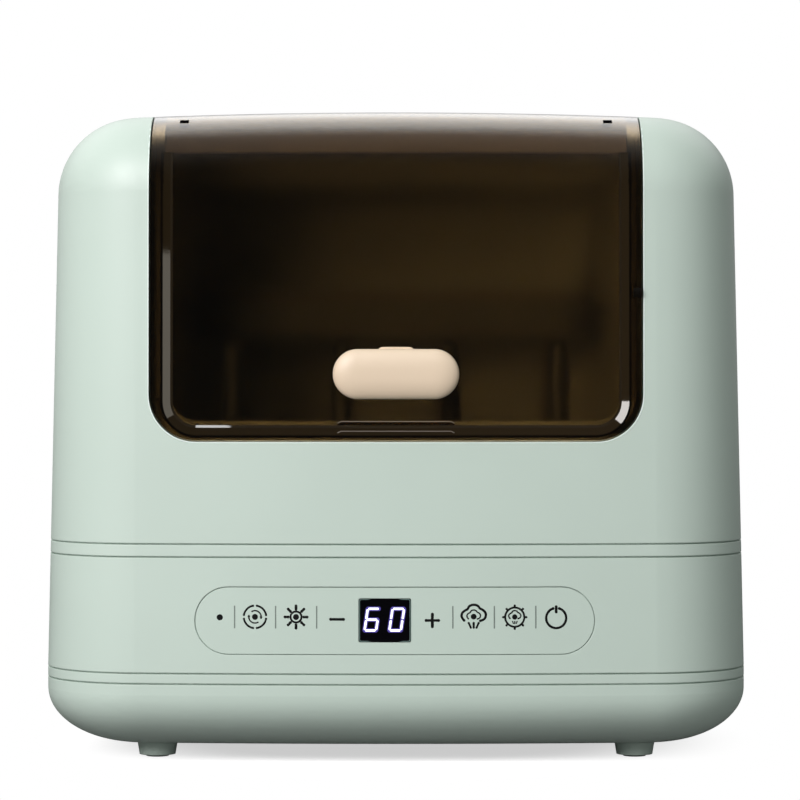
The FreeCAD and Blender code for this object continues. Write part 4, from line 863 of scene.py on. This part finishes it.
def divided(path, step=0.004):
    """The same path with points added on its long runs, so that it can follow a curved face."""
    points = [path[0]]
    for start, end in zip(path, path[1:]):
        count = max(1, round(math.dist(start, end) / step))
        run = (end[0] - start[0], end[1] - start[1])
        points += [(start[0] + run[0] * index / count, start[1] + run[1] * index / count)
                   for index in range(1, count + 1)]
    return points


bpy.context.view_layer.update()
for index, (row_z, face_piece) in enumerate(groove_rows):
    groove_run = [(-groove_half_length, row_z - groove_drop), (groove_hook - groove_half_length, row_z),
                  (groove_half_length - groove_hook, row_z), (groove_half_length, row_z - groove_drop)]
    groove_strokes = ink_stroke(divided(groove_run), groove_width)
    groove = joined_piece(f"catch_groove_{index}", groove_strokes, groove_highlight_paint, "lid")
    lay_on(groove, face_piece)


# Lid header: a pale strip under the front of the lid's roof that closes the gap above the
# chamber and hides the hinge ends. It is welded to the inside of the lid.

header_half_width = 0.1125
header_low_z = 0.2982
header_high_z = 0.3085
header_inset = 0.0048
header_wall = 0.0012
header_crease = math.radians(40)

header_plastic = moulded("header plastic", (0.62, 0.55, 0.66), 0.45, 0.00001)
bpy.ops.object.select_all(action="DESELECT")
bpy.ops.mesh.primitive_grid_add(x_subdivisions=60, y_subdivisions=8, size=1.0,
                                rotation=(math.radians(90), 0.0, 0.0),
                                location=(0.0, 0.0, (header_low_z + header_high_z) / 2))
header = bpy.context.object
header.scale = (2 * header_half_width, header_high_z - header_low_z, 1.0)
bpy.ops.object.transform_apply(location=True, rotation=True, scale=True)
header = joined_piece("lid_header", [header], header_plastic, "lid")
lay_on(header, "lid_cover", -header_inset)
wall = header.modifiers.new("wall", "SOLIDIFY")
wall.thickness = header_wall
wall.offset = -1.0
bpy.ops.object.modifier_apply(modifier="wall")
bpy.ops.object.shade_smooth_by_angle(angle=header_crease)


# Hinge slots: two short slots in the lid's top where the hinge arms go through. The shade in
# each is painted on as a matt black sleeve laid on the lid.

slot_x = 0.1041
slot_z = 0.3146
slot_half_length = 0.0022
slot_width = 0.0019
slot_rise = 0.0004

# Painted shade: a matt black sleeve with no gloss stands for the dark gap of each slot.
slot_shade_paint = moulded("slot painted shade", (0.003, 0.003, 0.003), 0.8, 0.000004, specular=0.0)

for side, slot_middle_x in (("left", -slot_x), ("right", slot_x)):
    slot_run = [(slot_middle_x - slot_half_length, slot_z), (slot_middle_x + slot_half_length, slot_z)]
    slot_strokes = ink_stroke(slot_run, slot_width, rise=slot_rise, rounds=2)
    slot_shade = joined_piece(f"hinge_slot_{side}", slot_strokes, slot_shade_paint, "lid")
    lay_on(slot_shade, "lid_cover")


# Handle: a cream cap with full-round ends and a pillowed face, on a foot that stands through
# to the lid, held by two screws from inside. Warm satin plastic.

cream = (0.75, 0.615, 0.448)
pillow_width = 0.0104
pillow_height = 0.0046
pillow_steps = 12
cap_sides = 96
cap_crease = math.radians(60)
middle_slack = 0.00001

handle_satin = moulded("handle satin", cream, 0.42, 0.000008)
dress(handle_satin, "handle_grip", "handle_neck")
cap_low, cap_high = (Vector(corner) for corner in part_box("handle_grip"))
cap_middle = (cap_low + cap_high) / 2
cap_size = cap_high - cap_low
cap_radius = cap_size.z / 2
bpy.ops.object.select_all(action="DESELECT")
bpy.ops.mesh.primitive_circle_add(vertices=cap_sides, radius=cap_radius, fill_type="NGON",
                                  rotation=(math.radians(90), 0.0, 0.0))
cap = bpy.context.object
bpy.ops.object.transform_apply(location=False, rotation=True, scale=False)
bpy.ops.object.mode_set(mode="EDIT")
bpy.ops.mesh.select_all(action="SELECT")
bpy.ops.mesh.extrude_region_move(TRANSFORM_OT_translate={"value": (0.0, pillow_height - cap_size.y, 0.0)})
turns = [math.radians(90 * index / pillow_steps) for index in range(pillow_steps + 1)]
for before, after in zip(turns, turns[1:]):
    rise = pillow_height * (math.sin(after) - math.sin(before))
    radii = [cap_radius - pillow_width * (1 - math.cos(turn)) for turn in (before, after)]
    share = radii[1] / radii[0]
    bpy.ops.mesh.extrude_region_move(TRANSFORM_OT_translate={"value": (0.0, -rise, 0.0)})
    bpy.ops.transform.resize(value=(share, 1.0, share), center_override=(0.0, 0.0, 0.0))
bpy.ops.mesh.select_all(action="SELECT")
bpy.ops.mesh.normals_make_consistent(inside=False)
bpy.ops.object.mode_set(mode="OBJECT")
for vertex in cap.data.vertices:
    if abs(vertex.co.x) > middle_slack:
        vertex.co.x += math.copysign(cap_size.x / 2 - cap_radius, vertex.co.x)
cap.data.transform(Matrix.Translation((cap_middle.x, cap_high.y, cap_middle.z)))
handle_cap = joined_piece("handle_cap", [cap], handle_satin, "lid")
bpy.ops.object.shade_smooth_by_angle(angle=cap_crease)
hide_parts("handle_grip")


# Floor and background of the product view: pale paper that keeps the appliance's shadow near
# it and turns to the background's white further out. Glossy faces mirror it darker.

white = (1.0, 1.0, 1.0, 1.0)
floor_reach = 8.0
floor_fade_start = 0.10
floor_fade_end = 0.19
floor_mirrored = 0.04
floor_glow = 0.58
floor_bounce = 0.26
paper_darkest = 0.93
paper_palest = 0.96


def ray_fact(tree, name):
    """What is known of a ray: 1 or 0 for a kind of ray, or how often it has scattered."""
    return wire(tree, "ShaderNodeLightPath").outputs[name]


def background_rays(tree):
    """1 for rays that should meet the pale background: seen, mirrored or passed through."""
    seen = math_step(tree, "MAXIMUM", ray_fact(tree, "Is Camera Ray"), ray_fact(tree, "Is Glossy Ray"))
    both = math_step(tree, "MAXIMUM", seen, ray_fact(tree, "Is Transmission Ray"))
    unscattered = math_step(tree, "LESS_THAN", ray_fact(tree, "Diffuse Depth"), 0.5)
    return math_step(tree, "MULTIPLY", both, unscattered)


def ramp(tree, value, start, end, low, high, shape="SMOOTHSTEP"):
    """Goes from low to high as a value goes from start to end."""
    step = wire(tree, "ShaderNodeMapRange", {"interpolation_type": shape},
                {"Value": value, "From Min": start, "From Max": end, "To Min": low, "To Max": high})
    return step.outputs["Result"]


bpy.ops.mesh.primitive_plane_add(size=2 * floor_reach, location=(0, 0, 0))
floor = bpy.context.object
floor.name = "studio_floor"
floor_paper = bpy.data.materials.new("floor paper")
floor_paper.use_nodes = True
paper = floor_paper.node_tree
paper.nodes.clear()
paper_place = wire(paper, "ShaderNodeTexCoord").outputs["Object"]
paper_grain = noise(paper, paper_place, per_metre=300.0, detail=2.0)
paper_tone = ramp(paper, paper_grain, 0.0, 1.0, paper_darkest, paper_palest, "LINEAR")
paper_seen = ray_fact(paper, "Is Camera Ray")
paper_bounce = ramp(paper, paper_seen, 0.0, 1.0, floor_bounce, 1.0, "LINEAR")
paper_matt = wire(paper, "ShaderNodeBsdfDiffuse", None,
                  {"Color": math_step(paper, "MULTIPLY", paper_tone, paper_bounce)})
paper_lift = wire(paper, "ShaderNodeEmission", None,
                  {"Color": white, "Strength": math_step(paper, "MULTIPLY", paper_seen, floor_glow)})
paper_near = wire(paper, "ShaderNodeAddShader", None, {0: paper_matt.outputs[0], 1: paper_lift.outputs[0]})
paper_gloss = ramp(paper, ray_fact(paper, "Is Glossy Ray"), 0.0, 1.0, 1.0, floor_mirrored, "LINEAR")
paper_far = wire(paper, "ShaderNodeEmission", None, {"Color": white, "Strength": paper_gloss})
paper_reach = wire(paper, "ShaderNodeVectorMath", {"operation": "LENGTH"}, {0: paper_place}).outputs["Value"]
paper_fade = ramp(paper, paper_reach, floor_fade_start, floor_fade_end, 0.0, 1.0)
paper_share = math_step(paper, "MULTIPLY", paper_fade, background_rays(paper))
paper_mix = wire(paper, "ShaderNodeMixShader", None,
                 {0: paper_share, 1: paper_near.outputs[0], 2: paper_far.outputs[0]})
wire(paper, "ShaderNodeOutputMaterial", None, {"Surface": paper_mix.outputs[0]})
floor.data.materials.append(floor_paper)

room_light = 0.44
side_light = 0.12
mirrored_front = 0.008
mirrored_side = 0.30
mirrored_back = 0.45
mirrored_top = 1.5
world = bpy.data.worlds.new("studio")
bpy.context.scene.world = world
world.use_nodes = True
sky = world.node_tree
sky.nodes.clear()


def choice(tree, switch, off, on):
    """Goes from off to on as the switch goes from 0 to 1."""
    swing = math_step(tree, "MULTIPLY", switch, math_step(tree, "SUBTRACT", on, off))
    return math_step(tree, "ADD", off, swing)


sky_way = wire(sky, "ShaderNodeSeparateXYZ", None, {0: wire(sky, "ShaderNodeTexCoord").outputs["Generated"]})
sky_x, sky_y, sky_z = sky_way.outputs
sky_ahead = ramp(sky, sky_y, -0.85, -0.1, mirrored_front / mirrored_side, 1.0)
sky_behind = ramp(sky, sky_y, 0.2, 0.9, mirrored_side, mirrored_back)
sky_above = math_step(sky, "MULTIPLY", ramp(sky, sky_y, -0.10, 0.35, 0.0, mirrored_top),
                      ramp(sky, sky_z, 0.2, 0.6, 0.0, 1.0))
sky_mirrored = math_step(sky, "ADD", math_step(sky, "MULTIPLY", sky_ahead, sky_behind), sky_above)
sky_dull = ramp(sky, math_step(sky, "ABSOLUTE", sky_x), 0.3, 1.0, room_light, side_light)
sky_seen = choice(sky, ray_fact(sky, "Is Glossy Ray"), 1.0, sky_mirrored)
sky_strength = choice(sky, background_rays(sky), sky_dull, sky_seen)
sky_light = wire(sky, "ShaderNodeBackground", None, {"Color": white, "Strength": sky_strength})
wire(sky, "ShaderNodeOutputWorld", None, {"Surface": sky_light.outputs[0]})


# Lamps: a large softbox from the left and a weak one from the right light the appliance. The
# smaller ones are for single pieces, as a photographer would set up strips and flags.

body_middle = Vector((0.0, 0.0, 0.16))
see_through_pieces = ("lid_cover", "lid_catch", "switch_magnet")
chamber_pieces = ("chamber_liner", "steam_cover", "bottle_rack", "rack_pegs", "accessory_tray", "heating_pan",
                  "seal_ring", "lid_header")


def linked_lamp(holder, kind, chosen, state):
    """Limits what a lamp lights, or what shades it, by a list of nodes to include or exclude."""
    group = bpy.data.collections.new(f"{holder.name} {kind}")
    setattr(holder.light_linking, f"{kind}_collection", group)
    for thing in chosen:
        group.objects.link(piece_named(thing))
    for entry in group.collection_objects:
        entry.light_linking.link_state = state


def softbox(name, place, target, size, power, tint=(1.0, 1.0, 1.0), height=None, spread=180.0):
    """A studio softbox aimed at a point, square unless its height is given."""
    lamp = bpy.data.lights.new(name, "AREA")
    lamp.shape = "RECTANGLE"
    lamp.size = size
    lamp.size_y = height or size
    lamp.spread = math.radians(spread)
    lamp.energy = power
    lamp.color = tint
    holder = bpy.data.objects.new(name, lamp)
    bpy.context.scene.collection.objects.link(holder)
    holder.location = place
    holder.rotation_euler = (Vector(target) - Vector(place)).to_track_quat("-Z", "Y").to_euler()
    return holder


key_left = softbox("key_left", place=(-1.03, -1.59, 1.17), target=body_middle, size=1.1, power=40.5,
                   tint=(1.0, 0.945, 0.97))
fill_right = softbox("fill_right", place=(1.4, -1.2, 0.6), target=body_middle, size=1.2, power=1.3,
                     tint=(0.97, 1.0, 0.98))
through_lid = softbox("through_lid", place=(-0.22, -0.72, 0.30), target=(0.22, 0.02, 0.03), size=0.3,
                      power=0.38, tint=(1.0, 0.85, 0.52), spread=54.0)
handle_sheen = softbox("handle_sheen", place=(-0.05, -0.75, 1.0), target=(0.0, -0.15, 0.19), size=0.5,
                       power=1.35, tint=(0.75, 0.93, 1.0))
edge_strip = softbox("edge_strip", place=(-0.70, -1.15, 0.169), target=(-0.11, -0.14, 0.169), size=0.5,
                     height=0.338, power=1.15, tint=(1.0, 0.95, 0.82))
edge_corner_light = softbox("edge_corner_light", place=(0.338, -0.534, 0.131), target=(0.11, -0.14, 0.168),
                            size=0.115, power=0.64, tint=(1.0, 0.96, 0.93))
edge_glint = softbox("edge_glint", place=(-0.27, -0.63, 1.03), target=(-0.09, -0.14, 0.165), size=0.08,
                     power=0.24)
for lamp in (key_left, fill_right):
    linked_lamp(lamp, "receiver", (*see_through_pieces, "display_window", "lid_panel_edge"), "EXCLUDE")
linked_lamp(through_lid, "receiver", chamber_pieces, "INCLUDE")
linked_lamp(through_lid, "blocker", (*see_through_pieces, "lid_panel_edge"), "EXCLUDE")
linked_lamp(handle_sheen, "receiver", ("handle_cap", "handle_neck"), "INCLUDE")
for lamp in (edge_strip, edge_corner_light, edge_glint):
    linked_lamp(lamp, "receiver", ("lid_panel_edge",), "INCLUDE")


# Camera: square in front, a little below the appliance's top and tipped down by a hair, with a
# long lens.

eye_height = 0.195
eye_distance = 1.739
eye_pitch = math.radians(0.61)
lens_mm = 149.0
sensor_mm = 36.0
frame_shift = 0.005
camera_data = bpy.data.cameras.new("product_camera")
camera_data.lens = lens_mm
camera_data.sensor_width = sensor_mm
camera_data.shift_x = frame_shift
camera = bpy.data.objects.new("product_camera", camera_data)
bpy.context.scene.collection.objects.link(camera)
camera.location = (0.0, -eye_distance, eye_height)
camera.rotation_euler = (math.radians(90) - eye_pitch, 0.0, 0.0)
bpy.context.scene.camera = camera
bpy.context.scene.view_settings.view_transform = "Standard"
